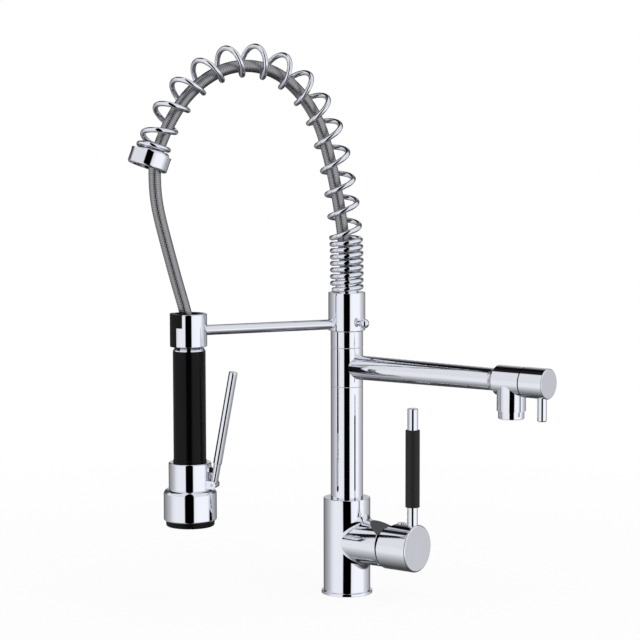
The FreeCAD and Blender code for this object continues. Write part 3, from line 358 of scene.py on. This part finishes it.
ARM_SLEEVE_R = 17.65
ARM_SLEEVE_FOOT = 254.43
ARM_SLEEVE_ROUND = 0.6
SEAT_TOP = 291.0
SPIGOT_R = 10.9
SPIGOT_TOP = 307.0
SPIGOT_BORE_R = 7.3
SPIGOT_ROUND = 0.4
arm_sleeve_outline = [
    (CORE_R, ARM_SLEEVE_FOOT),
    (ARM_SLEEVE_R, ARM_SLEEVE_FOOT, ARM_SLEEVE_ROUND),
    (ARM_SLEEVE_R, SEAT_TOP, ARM_SLEEVE_ROUND),
    (SPIGOT_R, SEAT_TOP),
    (SPIGOT_R, SPIGOT_TOP, SPIGOT_ROUND),
    (SPIGOT_BORE_R, SPIGOT_TOP),
]
arm_sleeve = lathe("arm_sleeve_turned", arm_sleeve_outline)
fit(arm_sleeve, "spring_arm", chrome_plate, "chrome", "arm_sleeve", "spring_seat")
ROD_Z = 260.6
ROD_R = 4.8
ROD_START = 14.0
ROD_END = 146.0
ROD_SIDES = 64
arm_rod = lathe("dock_rod", [(ROD_R, ROD_START), (ROD_R, ROD_END)], (0, 0, ROD_Z), arm_way, sides=ROD_SIDES)
fit(arm_rod, "spring_arm", chrome_plate, "chrome", "arm_rod")
for name in ("ball_screw", "dock_ring"):
    dress(nodes[name], chrome_plate)

# Spring: hard-drawn steel wire, wound on a mandrel and plated. It is wound tight over the seat's spigot,
# opens over the arch and closes into the collar. The arch is a chain of tangent arcs of (radius, turn in
# degrees).
SPRING_R = 13.6
WIRE_R = 2.5
STRAIGHT = 24.8
ARCH = ((420.0, 17.0), (115.0, 33.0), (74.0, 68.0), (105.0, 28.0), (170.0, 14.0))
TAIL = 9.0


def arc_step(place, radius, turn):
    """The end of a tangent arc from a place of (reach, height, heading), heading in degrees from upright."""
    reach, height, heading = place
    start = math.radians(heading)
    end = math.radians(heading + turn)
    reach += radius * (math.cos(start) - math.cos(end))
    height += radius * (math.sin(end) - math.sin(start))
    return reach, height, heading + turn


def along_arcs(place, arcs, distance):
    """The place at a distance along a chain of tangent arcs, or straight on past its end."""
    for radius, turn in arcs:
        length = radius * math.radians(turn)
        if distance <= length:
            return arc_step(place, radius, math.degrees(distance / radius))
        distance -= length
        place = arc_step(place, radius, turn)
    reach, height, heading = place
    angle = math.radians(heading)
    return reach + distance * math.sin(angle), height + distance * math.cos(angle), heading


def arch_place(distance):
    """The place at a distance along the spring's centreline from its seat."""
    if distance <= STRAIGHT:
        return 0.0, SEAT_TOP + distance, 0.0
    return along_arcs((0.0, SEAT_TOP + STRAIGHT, 0.0), ARCH, distance - STRAIGHT)


arch_length = STRAIGHT + sum(radius * math.radians(turn) for radius, turn in ARCH) + TAIL
WIRE_GAP = 0.03
first_coil = WIRE_R + WIRE_GAP
last_coil = arch_length - first_coil
TIGHT_TURNS = 8
TIGHT_PITCH = 6.3
RISING_TURNS = 2.5
RISING_PITCH = 21.9
OPEN_TURNS = 11.25
CLOSING_TURNS = 1.75
CLOSING_PITCH = 6.0
tight_length = TIGHT_TURNS * TIGHT_PITCH
rising_length = RISING_TURNS * RISING_PITCH
closing_length = CLOSING_TURNS * CLOSING_PITCH
open_length = last_coil - first_coil - tight_length - rising_length - closing_length
coil_runs = (
    (TIGHT_TURNS, tight_length),
    (RISING_TURNS, rising_length),
    (OPEN_TURNS, open_length),
    (CLOSING_TURNS, closing_length),
)
coil_turns = sum(turns for turns, length in coil_runs)


def coil_point(turns):
    """A point on the wire's centreline after a number of turns from the seat."""
    distance = first_coil
    turns_left = turns
    for run_turns, run_length in coil_runs:
        distance += run_length * min(max(turns_left / run_turns, 0), 1)
        turns_left -= run_turns
    reach, height, heading = arch_place(distance)
    angle = math.radians(heading)
    turned = 2 * math.pi * turns
    inner = SPRING_R * math.cos(turned)
    side = SPRING_R * math.sin(turned)
    return arm_point(reach + inner * math.cos(angle), height - inner * math.sin(angle), side)


def tube_along(name, points, radius, sides):
    """A closed round tube through points in metres, with UVs in metres along it and turns around it."""
    shape = bmesh.new()
    uv = shape.loops.layers.uv.new("along_and_around")
    angles = [2 * math.pi * k / sides for k in range(sides)]
    way = (points[1] - points[0]).normalized()
    side = way.orthogonal().normalized()
    rings = []
    lengths = [0.0]
    for i, here in enumerate(points):
        ahead = points[min(i + 1, len(points) - 1)] - points[max(i - 1, 0)]
        new_way = ahead.normalized()
        side = way.rotation_difference(new_way) @ side
        way = new_way
        up = way.cross(side)
        spots = [here + (side * math.cos(a) + up * math.sin(a)) * radius for a in angles]
        rings.append([shape.verts.new(spot) for spot in spots])
        if i:
            lengths.append(lengths[-1] + (here - points[i - 1]).length)
    for i in range(len(rings) - 1):
        for k in range(sides):
            m = (k + 1) % sides
            face = shape.faces.new((rings[i][k], rings[i][m], rings[i + 1][m], rings[i + 1][k]))
            face_spots = ((i, k), (i, k + 1), (i + 1, k + 1), (i + 1, k))
            for loop, (ring, turn) in zip(face.loops, face_spots):
                loop[uv].uv = (lengths[ring], turn / sides)
    shape.faces.new(rings[0][::-1])
    shape.faces.new(rings[-1])
    bmesh.ops.recalc_face_normals(shape, faces=shape.faces)
    return finish_mesh(name, shape)


COIL_STEPS = 40
WIRE_SIDES = 18
wire_points = [coil_point(i / COIL_STEPS) for i in range(int(coil_turns * COIL_STEPS) + 1)]
spring = tube_along("spring_wire", wire_points, WIRE_R * MM, WIRE_SIDES)
fit(spring, "spring_arm", chrome_plate, "chrome", "spring")

# Spring collar: a turned and plated brass cup. The spring's last coils end in it, and the hose comes out
# through its foot.
dress(nodes["spring_collar"], chrome_plate)

# Hose: a rubber hose in a braid of fine stainless wires, whose bands cross over and under. Inside the spring
# it runs near the inner side of the arch, and its lower end goes down into the spring's seat.
HOSE_R = 5.75
HOSE_INSET = 5.2
HOSE_SIDES = 48

# Stainless wire braid: to the eye a grey skin of small bright diamonds with darker crossings between them.
# Its colour is painted: light grey on the bands' crests and dark grey in the crossings, a painted shade where
# the bands dip under each other.
# It is drawn coarser than the real one, at 1.6 mm a band, because finer wire would not show.
BAND_MM = 1.6
BANDS_AROUND = 16
BRAID_RELIEF_MM = 0.2
hose_braid, tree, shader = new_material("stainless_wire_braid")
shader.inputs["Metallic"].default_value = 1.0
shader.inputs["Roughness"].default_value = 0.27
place = add_node(tree, "ShaderNodeUVMap", {"uv_map": "along_and_around"}).outputs["UV"]
parts = add_node(tree, "ShaderNodeSeparateXYZ", None, {"Vector": place})
along_scale = {"operation": "MULTIPLY", 1: 2 * math.pi / (2 * BAND_MM * MM)}
around_scale = {"operation": "MULTIPLY", 1: 2 * math.pi * BANDS_AROUND}
along = add_node(tree, "ShaderNodeMath", along_scale, {0: parts.outputs["X"]})
around = add_node(tree, "ShaderNodeMath", around_scale, {0: parts.outputs["Y"]})
crossing = {0: along.outputs[0], 1: around.outputs[0]}
waves = {}
for number, operation in enumerate(("ADD", "SUBTRACT")):
    slope = add_node(tree, "ShaderNodeMath", {"operation": operation}, crossing)
    wave = add_node(tree, "ShaderNodeMath", {"operation": "SINE"}, {0: slope.outputs[0]})
    waves[number] = wave.outputs[0]
weave = add_node(tree, "ShaderNodeMath", {"operation": "MULTIPLY"}, waves)
crest = add_node(tree, "ShaderNodeMapRange", {"From Min": -1.0}, {"Value": weave.outputs[0]})
# Painted shade: the colour goes from dark grey where the bands dip under to light grey on their crests.
painted_weave_shade = add_node(tree, "ShaderNodeValToRGB", None, {"Fac": crest.outputs["Result"]})
painted_weave_shade.color_ramp.elements[0].color = linear("#66666A")
painted_weave_shade.color_ramp.elements[1].color = linear("#C2C2C6")
tree.links.new(painted_weave_shade.outputs["Color"], shader.inputs["Base Color"])
relief = {"Strength": 0.3, "Distance": BRAID_RELIEF_MM * MM}
bump = add_node(tree, "ShaderNodeBump", relief, {"Height": weave.outputs[0]})
tree.links.new(bump.outputs["Normal"], shader.inputs["Normal"])

HOSE_BOTTOM = 281.0
HOSE_LAST_ARC = (64.7, 20.0)
HOSE_STEP = 2.0
first_radius, first_turn = ARCH[0]
first_cos = math.cos(math.radians(first_turn))
hose_arcs = [(first_radius + HOSE_INSET * first_cos / (1 - first_cos), first_turn)]
hose_arcs += [(radius - HOSE_INSET, turn) for radius, turn in ARCH[1:]]
hose_arcs.append(HOSE_LAST_ARC)
hose_length = sum(radius * math.radians(turn) for radius, turn in hose_arcs)
hose_steps = int(hose_length / HOSE_STEP)
hose_points = []
for i in range(hose_steps + 1):
    reach, height, heading = along_arcs((0.0, HOSE_BOTTOM, 0.0), hose_arcs, hose_length * i / hose_steps)
    hose_points.append(arm_point(reach, height))
upper_hose = tube_along("hose_in_spring", hose_points, HOSE_R * MM, HOSE_SIDES)
fit(upper_hose, "spring_arm", hose_braid, "hose_braid", "hose_upper")

# Free hose: the same braided hose, from the collar down to the ferrule in the wand's neck.
# It bends between the two when the wand is pulled; here it is drawn along one fixed route and rides on no
# body.
ROUTE = (
    (192.3, 406.9), (192.3, 395.0), (190.2, 377.0), (186.0, 359.0), (180.8, 339.5), (175.6, 320.5),
    (171.0, 304.0), (166.0, 287.5), (162.0, 272.5), (160.0, 261.0), (160.0, 250.0),
)
ROUTE_STEPS = 12
ROUTE_ORDER = 3


def smooth_route(points):
    """The points of a NURBS line whose control points are given."""
    curve = bpy.data.curves.new("route", "CURVE")
    curve.dimensions = "3D"
    curve.resolution_u = ROUTE_STEPS
    spline = curve.splines.new("NURBS")
    spline.points.add(len(points) - 1)
    for control, point in zip(spline.points, points):
        control.co = (*point, 1)
    spline.order_u = ROUTE_ORDER
    spline.use_endpoint_u = True
    line = bpy.data.objects.new("route", curve)
    mesh = bpy.data.meshes.new_from_object(line)
    path = [vertex.co.copy() for vertex in mesh.vertices]
    bpy.data.objects.remove(line)
    bpy.data.curves.remove(curve)
    bpy.data.meshes.remove(mesh)
    return path


free_path = smooth_route([arm_point(reach, height) for reach, height in ROUTE])
free_hose = tube_along("hose_free_braided", free_path, HOSE_R * MM, HOSE_SIDES)
dress(free_hose, hose_braid)
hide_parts("hose_free")
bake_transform(free_hose)

# Dock liner: a bush moulded in black nylon and pushed into the dock ring, where it holds the wand's neck.
# Its lug shows through the ring's slot.

# Moulded black nylon: to the eye a deep black with a weak, dull sheen. Its mould grain is drawn at 0.8 mm,
# coarser than the real one, so that it shows.
MOULD_GRAIN_MM = 0.8
black_nylon, tree, shader = new_material("moulded_black_nylon")
shader.inputs["Base Color"].default_value = linear("#060607")
shader.inputs["Specular IOR Level"].default_value = 0.15
place = add_node(tree, "ShaderNodeTexCoord").outputs["Object"]
grain_scale = {"Scale": 1 / (MOULD_GRAIN_MM * MM), "Detail": 2.0}
grain = add_node(tree, "ShaderNodeTexNoise", grain_scale, {"Vector": place})
dull = add_node(tree, "ShaderNodeMapRange", {"To Min": 0.34, "To Max": 0.46}, {"Value": grain.outputs["Fac"]})
tree.links.new(dull.outputs["Result"], shader.inputs["Roughness"])
dress(nodes["dock_liner"], black_nylon)

# Wand: a plated brass neck with a sloped band, a smooth black grip over the core tube, and a plated collar
# and bell. The trigger lever is plated too, and it is pinned at the collar.
WAND_REACH = 160.0
wand_foot = arm_way * WAND_REACH
wand_at = (wand_foot.x, wand_foot.y, 0)
GRIP_R = 15.25
GRIP_TOP = 242.0
GRIP_BORE_R = 11.0
NECK_R = 11.6
NECK_BORE_R = 9.0
NECK_BORE_FOOT = 240.0
NECK_TOP = 270.0
NECK_ROUND = 0.6
SLOPE_R = 13.0
SLOPE_TOP = 245.9
SLOPE_ROUND = 0.3
neck_outline = [
    (NECK_BORE_R, NECK_BORE_FOOT),
    (NECK_BORE_R, NECK_TOP),
    (NECK_R, NECK_TOP, NECK_ROUND),
    (NECK_R, SLOPE_TOP),
    (SLOPE_R, SLOPE_TOP),
    (GRIP_R, GRIP_TOP, SLOPE_ROUND),
    (GRIP_BORE_R, GRIP_TOP),
]
neck = lathe("wand_neck_turned", neck_outline, wand_at)
fit(neck, "wand", chrome_plate, "chrome", "wand_neck")

# Satin black ABS from a polished mould: to the eye a black tube with soft, narrow highlights along it.
SATIN_CLOUD_MM = 6.0
grip_abs, tree, shader = new_material("satin_black_abs")
shader.inputs["Base Color"].default_value = linear("#040406")
shader.inputs["Specular IOR Level"].default_value = 0.15
place = add_node(tree, "ShaderNodeTexCoord").outputs["Object"]
cloud_scale = {"Scale": 1 / (SATIN_CLOUD_MM * MM), "Detail": 3.0}
clouds = add_node(tree, "ShaderNodeTexNoise", cloud_scale, {"Vector": place})
sheen = {"To Min": 0.16, "To Max": 0.24}
satin = add_node(tree, "ShaderNodeMapRange", sheen, {"Value": clouds.outputs["Fac"]})
tree.links.new(satin.outputs["Result"], shader.inputs["Roughness"])
GRIP_FOOT = 137.6
GRIP_FOOT_R = 15.7
GRIP_FOOT_TOP = 140.0
GRIP_FOOT_BORE_R = 10.0
GRIP_FOOT_ROUND = 0.3
GRIP_STEP_ROUND = 0.4
GRIP_STEP_TOP = 140.4
grip_outline = [
    (GRIP_FOOT_BORE_R, GRIP_FOOT),
    (GRIP_FOOT_R, GRIP_FOOT, GRIP_FOOT_ROUND),
    (GRIP_FOOT_R, GRIP_FOOT_TOP, GRIP_STEP_ROUND),
    (GRIP_R, GRIP_STEP_TOP),
    (GRIP_R, GRIP_TOP),
    (GRIP_BORE_R, GRIP_TOP),
]
grip = lathe("wand_grip_moulded", grip_outline, wand_at)
fit(grip, "wand", grip_abs, "black_grip", "wand_grip")

for name in ("wand_collar", "trigger_lever"):
    dress(nodes[name], chrome_plate)
BELL_R = 24.8
BELL_BORE_R = 10.0
BELL_MOUTH_R = 22.72
BELL_TOP = 112.4
BELL_BOTTOM = 82.7
BELL_MOUTH_TOP = 88.0
BELL_SHOULDER_ROUND = 4.5
BELL_RIM_ROUND = 2.0
bell_outline = [
    (BELL_BORE_R, BELL_TOP),
    (BELL_R, BELL_TOP, BELL_SHOULDER_ROUND),
    (BELL_R, BELL_BOTTOM, BELL_RIM_ROUND),
    (BELL_MOUTH_R, BELL_BOTTOM),
    (BELL_MOUTH_R, BELL_MOUTH_TOP),
]
bell = lathe("wand_bell_turned", bell_outline, wand_at)
fit(bell, "wand", chrome_plate, "chrome", "wand_bell")

# Spray face: a black face moulded in nylon and pressed into the bell, with soft rubber nozzles that wipe
# clean. The trigger's plunger is of the same nylon.
dress(nodes["spray_face"], black_nylon)
dress(nodes["trigger_plunger"], black_nylon)
dress(nodes["spray_nozzles"], sleeve_rubber)

# Seals: moulded rubber rings, in the cartridge's ports, round the swivel core, over the aerator's insert and
# under the base ring.
for name in ("base_gasket", "port_seals", "swivel_seals", "aerator_washer"):
    dress(nodes[name], sleeve_rubber)

# Inner pieces: turned brass, moulded white acetal, lapped ceramic and turned steel, mostly hidden.
# Brass looks yellow, acetal milky and dull, ceramic ivory and glossy, and steel grey. Their fine grain is
# drawn at 1.2 mm, coarser than the real one, so that it shows.
FINISH_GRAIN_MM = 1.2


def plain_finish(name, hex_colour, metallic, rough_low, rough_high):
    """A material of one colour whose roughness varies a little over a fine grain."""
    material, tree, shader = new_material(name)
    shader.inputs["Base Color"].default_value = linear(hex_colour)
    shader.inputs["Metallic"].default_value = metallic
    place = add_node(tree, "ShaderNodeTexCoord").outputs["Object"]
    grain = add_node(tree, "ShaderNodeTexNoise", {"Scale": 1 / (FINISH_GRAIN_MM * MM)}, {"Vector": place})
    limits = {"To Min": rough_low, "To Max": rough_high}
    vary = add_node(tree, "ShaderNodeMapRange", limits, {"Value": grain.outputs["Fac"]})
    tree.links.new(vary.outputs["Result"], shader.inputs["Roughness"])
    return material


turned_brass = plain_finish("turned_brass", "#C9A862", 1.0, 0.22, 0.34)
white_acetal = plain_finish("moulded_white_acetal", "#E2E2DD", 0.0, 0.4, 0.5)
lapped_ceramic = plain_finish("lapped_alumina", "#EFEDE6", 0.0, 0.12, 0.2)
bright_steel = plain_finish("turned_stainless_steel", "#BDBDBF", 1.0, 0.2, 0.32)
INNER = {
    turned_brass: (
        "cartridge_nut", "swivel_core", "core_nut", "valve_headwork", "valve_spindle", "cartridge_stem",
    ),
    white_acetal: (
        "cartridge_base", "cartridge_shell", "carrier", "swivel_washers", "aerator_insert", "wand_core",
    ),
    lapped_ceramic: ("fixed_disc", "moving_disc"),
    bright_steel: ("pivot_pin", "handle_screw", "hose_ferrule", "ferrule_clip", "trigger_pin"),
}
for material, names in INNER.items():
    for name in names:
        dress(nodes[name], material)

# Studio floor: a round of white paper on the table, in metres. The camera sees it glow almost white, with the
# faucet's soft shadow. The chrome doesn't mirror it, so that its upright faces show the tent.
FLOOR_R = 1.4
FLOOR_SIDES = 96
FADE = {"From Min": 0.15, "From Max": 0.9, "To Min": 0.93, "To Max": 1.0}
floor_shape = bmesh.new()
bmesh.ops.create_circle(floor_shape, cap_ends=True, segments=FLOOR_SIDES, radius=FLOOR_R)
floor_mesh = bpy.data.meshes.new("floor")
floor_shape.to_mesh(floor_mesh)
floor_shape.free()
floor = bpy.data.objects.new("floor", floor_mesh)
bpy.context.scene.collection.objects.link(floor)
paper, tree, shader = new_material("white_paper_floor")
shader.inputs["Base Color"].default_value = linear("#F6F6F6")
shader.inputs["Roughness"].default_value = 0.9
shader.inputs["Specular IOR Level"].default_value = 0.1
glow = add_node(tree, "ShaderNodeEmission", {"Color": (1, 1, 1, 1), "Strength": 1.0})
place = add_node(tree, "ShaderNodeTexCoord").outputs["Object"]
from_middle = add_node(tree, "ShaderNodeVectorMath", {"operation": "LENGTH"}, {0: place})
fade = add_node(tree, "ShaderNodeMapRange", FADE, {"Value": from_middle.outputs["Value"]})
ray = add_node(tree, "ShaderNodeLightPath")
glow_links = {0: fade.outputs["Result"], 1: ray.outputs["Is Camera Ray"]}
glow_share = add_node(tree, "ShaderNodeMath", {"operation": "MULTIPLY"}, glow_links)
lit_links = {0: glow_share.outputs[0], 1: shader.outputs[0], 2: glow.outputs[0]}
lit = add_node(tree, "ShaderNodeMixShader", None, lit_links)
clear = add_node(tree, "ShaderNodeBsdfTransparent")
sheet_links = {0: ray.outputs["Is Glossy Ray"], 1: lit.outputs[0], 2: clear.outputs[0]}
sheet = add_node(tree, "ShaderNodeMixShader", None, sheet_links)
tree.links.new(sheet.outputs[0], tree.nodes["Material Output"].inputs["Surface"])
dress(floor, paper)

# Studio tent: a white cloth all round that lights the faucet and shows in the chrome. It has a dark gap round
# the camera from top to bottom, a dark back, a dark strip overhead, and a table below that is darkest to the
# back. The camera itself sees plain white.
CAMERA_AZIMUTH = math.radians(37.8)
towards_camera = Vector((math.sin(CAMERA_AZIMUTH), -math.cos(CAMERA_AZIMUTH), 0))
rightwards = Vector((math.cos(CAMERA_AZIMUTH), math.sin(CAMERA_AZIMUTH), 0))
UP_AND_FRONT = (0, -0.53, 0.85)
world = bpy.data.worlds.new("studio_tent")
bpy.context.scene.world = world
world.use_nodes = True
tree = world.node_tree
view_way = add_node(tree, "ShaderNodeTexCoord").outputs["Generated"]
way_parts = add_node(tree, "ShaderNodeSeparateXYZ", None, {"Vector": view_way}).outputs
shares = {}
for name, axis in (("front", towards_camera), ("right", rightwards), ("slant", UP_AND_FRONT)):
    share = add_node(tree, "ShaderNodeVectorMath", {"operation": "DOT_PRODUCT", 1: axis}, {0: view_way})
    shares[name] = share.outputs["Value"]
bearing_links = {0: shares["right"], 1: shares["front"]}
bearing = add_node(tree, "ShaderNodeMath", {"operation": "ARCTAN2"}, bearing_links).outputs[0]

# Each ramp has stops of (place, grey level). The wall's places are degrees to the right of the camera, and
# the other places are shares of a direction from -1 to 1.
WALL = (
    (-180, 0.04), (-158, 0.1), (-140, 0.28), (-120, 0.38), (-105, 0.5), (-90, 0.66), (-80, 0.86),
    (-66, 0.95), (-58, 0.97), (-23, 0.95), (-19, 0.0), (16, 0.0), (20, 1.0), (40, 1.08), (82, 1.08),
    (95, 0.8), (103, 0.68), (111, 0.63), (121, 0.53), (138, 0.38), (158, 0.15), (180, 0.04),
)
TABLE = ((-1, 0.04), (-0.82, 0.07), (-0.7, 0.18), (-0.5, 0.34), (-0.16, 0.64), (0.19, 1.0))
STRIP = ((-1, 0.85), (-0.3, 0.85), (-0.24, 0.02), (0.45, 0.0), (0.64, 0.2), (0.76, 0.55), (1, 0.7))
STRIP_ENDS = ((-0.82, 1.0), (-0.74, 0.0), (-0.4, 0.0), (-0.25, 1.0))
ROOF = ((-1, 0.06), (-0.6, 0.1), (-0.35, 0.85), (1, 0.85))
ramp_plan = {
    "wall": (bearing, math.pi, [(math.radians(degrees), level) for degrees, level in WALL]),
    "table": (shares["slant"], 1.0, TABLE),
    "strip": (way_parts["Y"], 1.0, STRIP),
    "strip_ends": (way_parts["X"], 1.0, STRIP_ENDS),
    "roof": (shares["front"], 1.0, ROOF),
}
greys = {}
for name, (value, limit, stops) in ramp_plan.items():
    share = add_node(tree, "ShaderNodeMapRange", {"From Min": -limit, "From Max": limit}, {"Value": value})
    ramp = add_node(tree, "ShaderNodeValToRGB", None, {"Fac": share.outputs["Result"]})
    elements = ramp.color_ramp.elements
    while len(elements) < len(stops):
        elements.new(0.5)
    for element, (stop, level) in zip(elements, stops):
        element.position = (stop + limit) / (2 * limit)
        element.color = (level, level, level, 1)
    greys[name] = ramp.outputs["Color"]

# A colour mix has its factor at input 0, its two colours at inputs 6 and 7, and its colour at output 2.
COLOURS = {"data_type": "RGBA"}
TABLE_EDGE = {"From Min": -0.25, "From Max": -0.42}
ROOF_EDGE = {"From Min": -0.02, "From Max": 0.12}
below = add_node(tree, "ShaderNodeMapRange", TABLE_EDGE, {"Value": way_parts["Z"]}).outputs["Result"]
above = add_node(tree, "ShaderNodeMapRange", ROOF_EDGE, {"Value": way_parts["Z"]}).outputs["Result"]
low_links = {0: below, 6: greys["wall"], 7: greys["table"]}
low = add_node(tree, "ShaderNodeMix", COLOURS, low_links).outputs[2]
high_links = {0: greys["strip_ends"], 6: greys["strip"], 7: greys["roof"]}
high = add_node(tree, "ShaderNodeMix", COLOURS, high_links).outputs[2]
closed_tent = add_node(tree, "ShaderNodeMix", COLOURS, {0: above, 6: low, 7: high}).outputs[2]
GAP_MIDDLE = math.radians(-1.5)
GAP_EDGE = {"From Min": math.radians(17.5), "From Max": math.radians(21.5)}
aside = add_node(tree, "ShaderNodeMath", {"operation": "SUBTRACT", 1: GAP_MIDDLE}, {0: bearing})
width = add_node(tree, "ShaderNodeMath", {"operation": "ABSOLUTE"}, {0: aside.outputs[0]})
cloth = add_node(tree, "ShaderNodeMapRange", GAP_EDGE, {"Value": width.outputs[0]})
darken = {"data_type": "RGBA", "blend_type": "MULTIPLY", 0: 1.0}
gap_links = {6: closed_tent, 7: cloth.outputs["Result"]}
tent = add_node(tree, "ShaderNodeMix", darken, gap_links).outputs[2]
ray = add_node(tree, "ShaderNodeLightPath")
backdrop = add_node(tree, "ShaderNodeMix", COLOURS, {0: ray.outputs["Is Camera Ray"], 6: tent})
backdrop.inputs[7].default_value = (1, 1, 1, 1)
tree.links.new(backdrop.outputs[2], tree.nodes["Background"].inputs["Color"])

# Studio lamp: a square soft box high in front of the faucet and to its right, which draws a soft shadow on
# the paper. The chrome doesn't mirror it.
KEY_WATTS = 12.0
KEY_SIZE = 1.2
KEY_RIGHT = 0.9
KEY_FRONT = 1.0
KEY_HEIGHT = 1.6
KEY_AIM = Vector((0, 0, 0.25))
key = bpy.data.lights.new("soft_key", "AREA")
key.energy = KEY_WATTS
key.size = KEY_SIZE
key_light = bpy.data.objects.new("soft_key", key)
bpy.context.scene.collection.objects.link(key_light)
key_light.location = rightwards * KEY_RIGHT + towards_camera * KEY_FRONT + Vector((0, 0, KEY_HEIGHT))
key_light.rotation_euler = (KEY_AIM - key_light.location).to_track_quat("-Z", "Y").to_euler()
key_light.visible_glossy = False

# Camera: at the photograph's angle, a little above the faucet's middle and looking slightly down, with a long
# lens that keeps the upright lines nearly upright. Lengths are in metres, the lens and its sensor in mm.
LENS = 132.06
SENSOR = 36.0
CAMERA_DISTANCE = 2.2295
CAMERA_STEP = -0.059
CAMERA_HEIGHT = 0.4911
PITCH = math.radians(5.812)
YAW = math.radians(0.858)
ROLL = math.radians(-0.095)
camera_data = bpy.data.cameras.new("camera")
camera_data.lens = LENS
camera_data.sensor_width = SENSOR
camera = bpy.data.objects.new("camera", camera_data)
bpy.context.scene.collection.objects.link(camera)
camera.location = towards_camera * CAMERA_DISTANCE + rightwards * CAMERA_STEP + Vector((0, 0, CAMERA_HEIGHT))
look = rightwards * math.sin(YAW) - towards_camera * math.cos(YAW)
look = look * math.cos(PITCH) - Vector((0, 0, math.sin(PITCH)))
camera.rotation_euler = (look.to_track_quat("-Z", "Y").to_matrix() @ Matrix.Rotation(ROLL, 3, "Z")).to_euler()
bpy.context.scene.camera = camera
bpy.context.scene.view_settings.view_transform = "Standard"
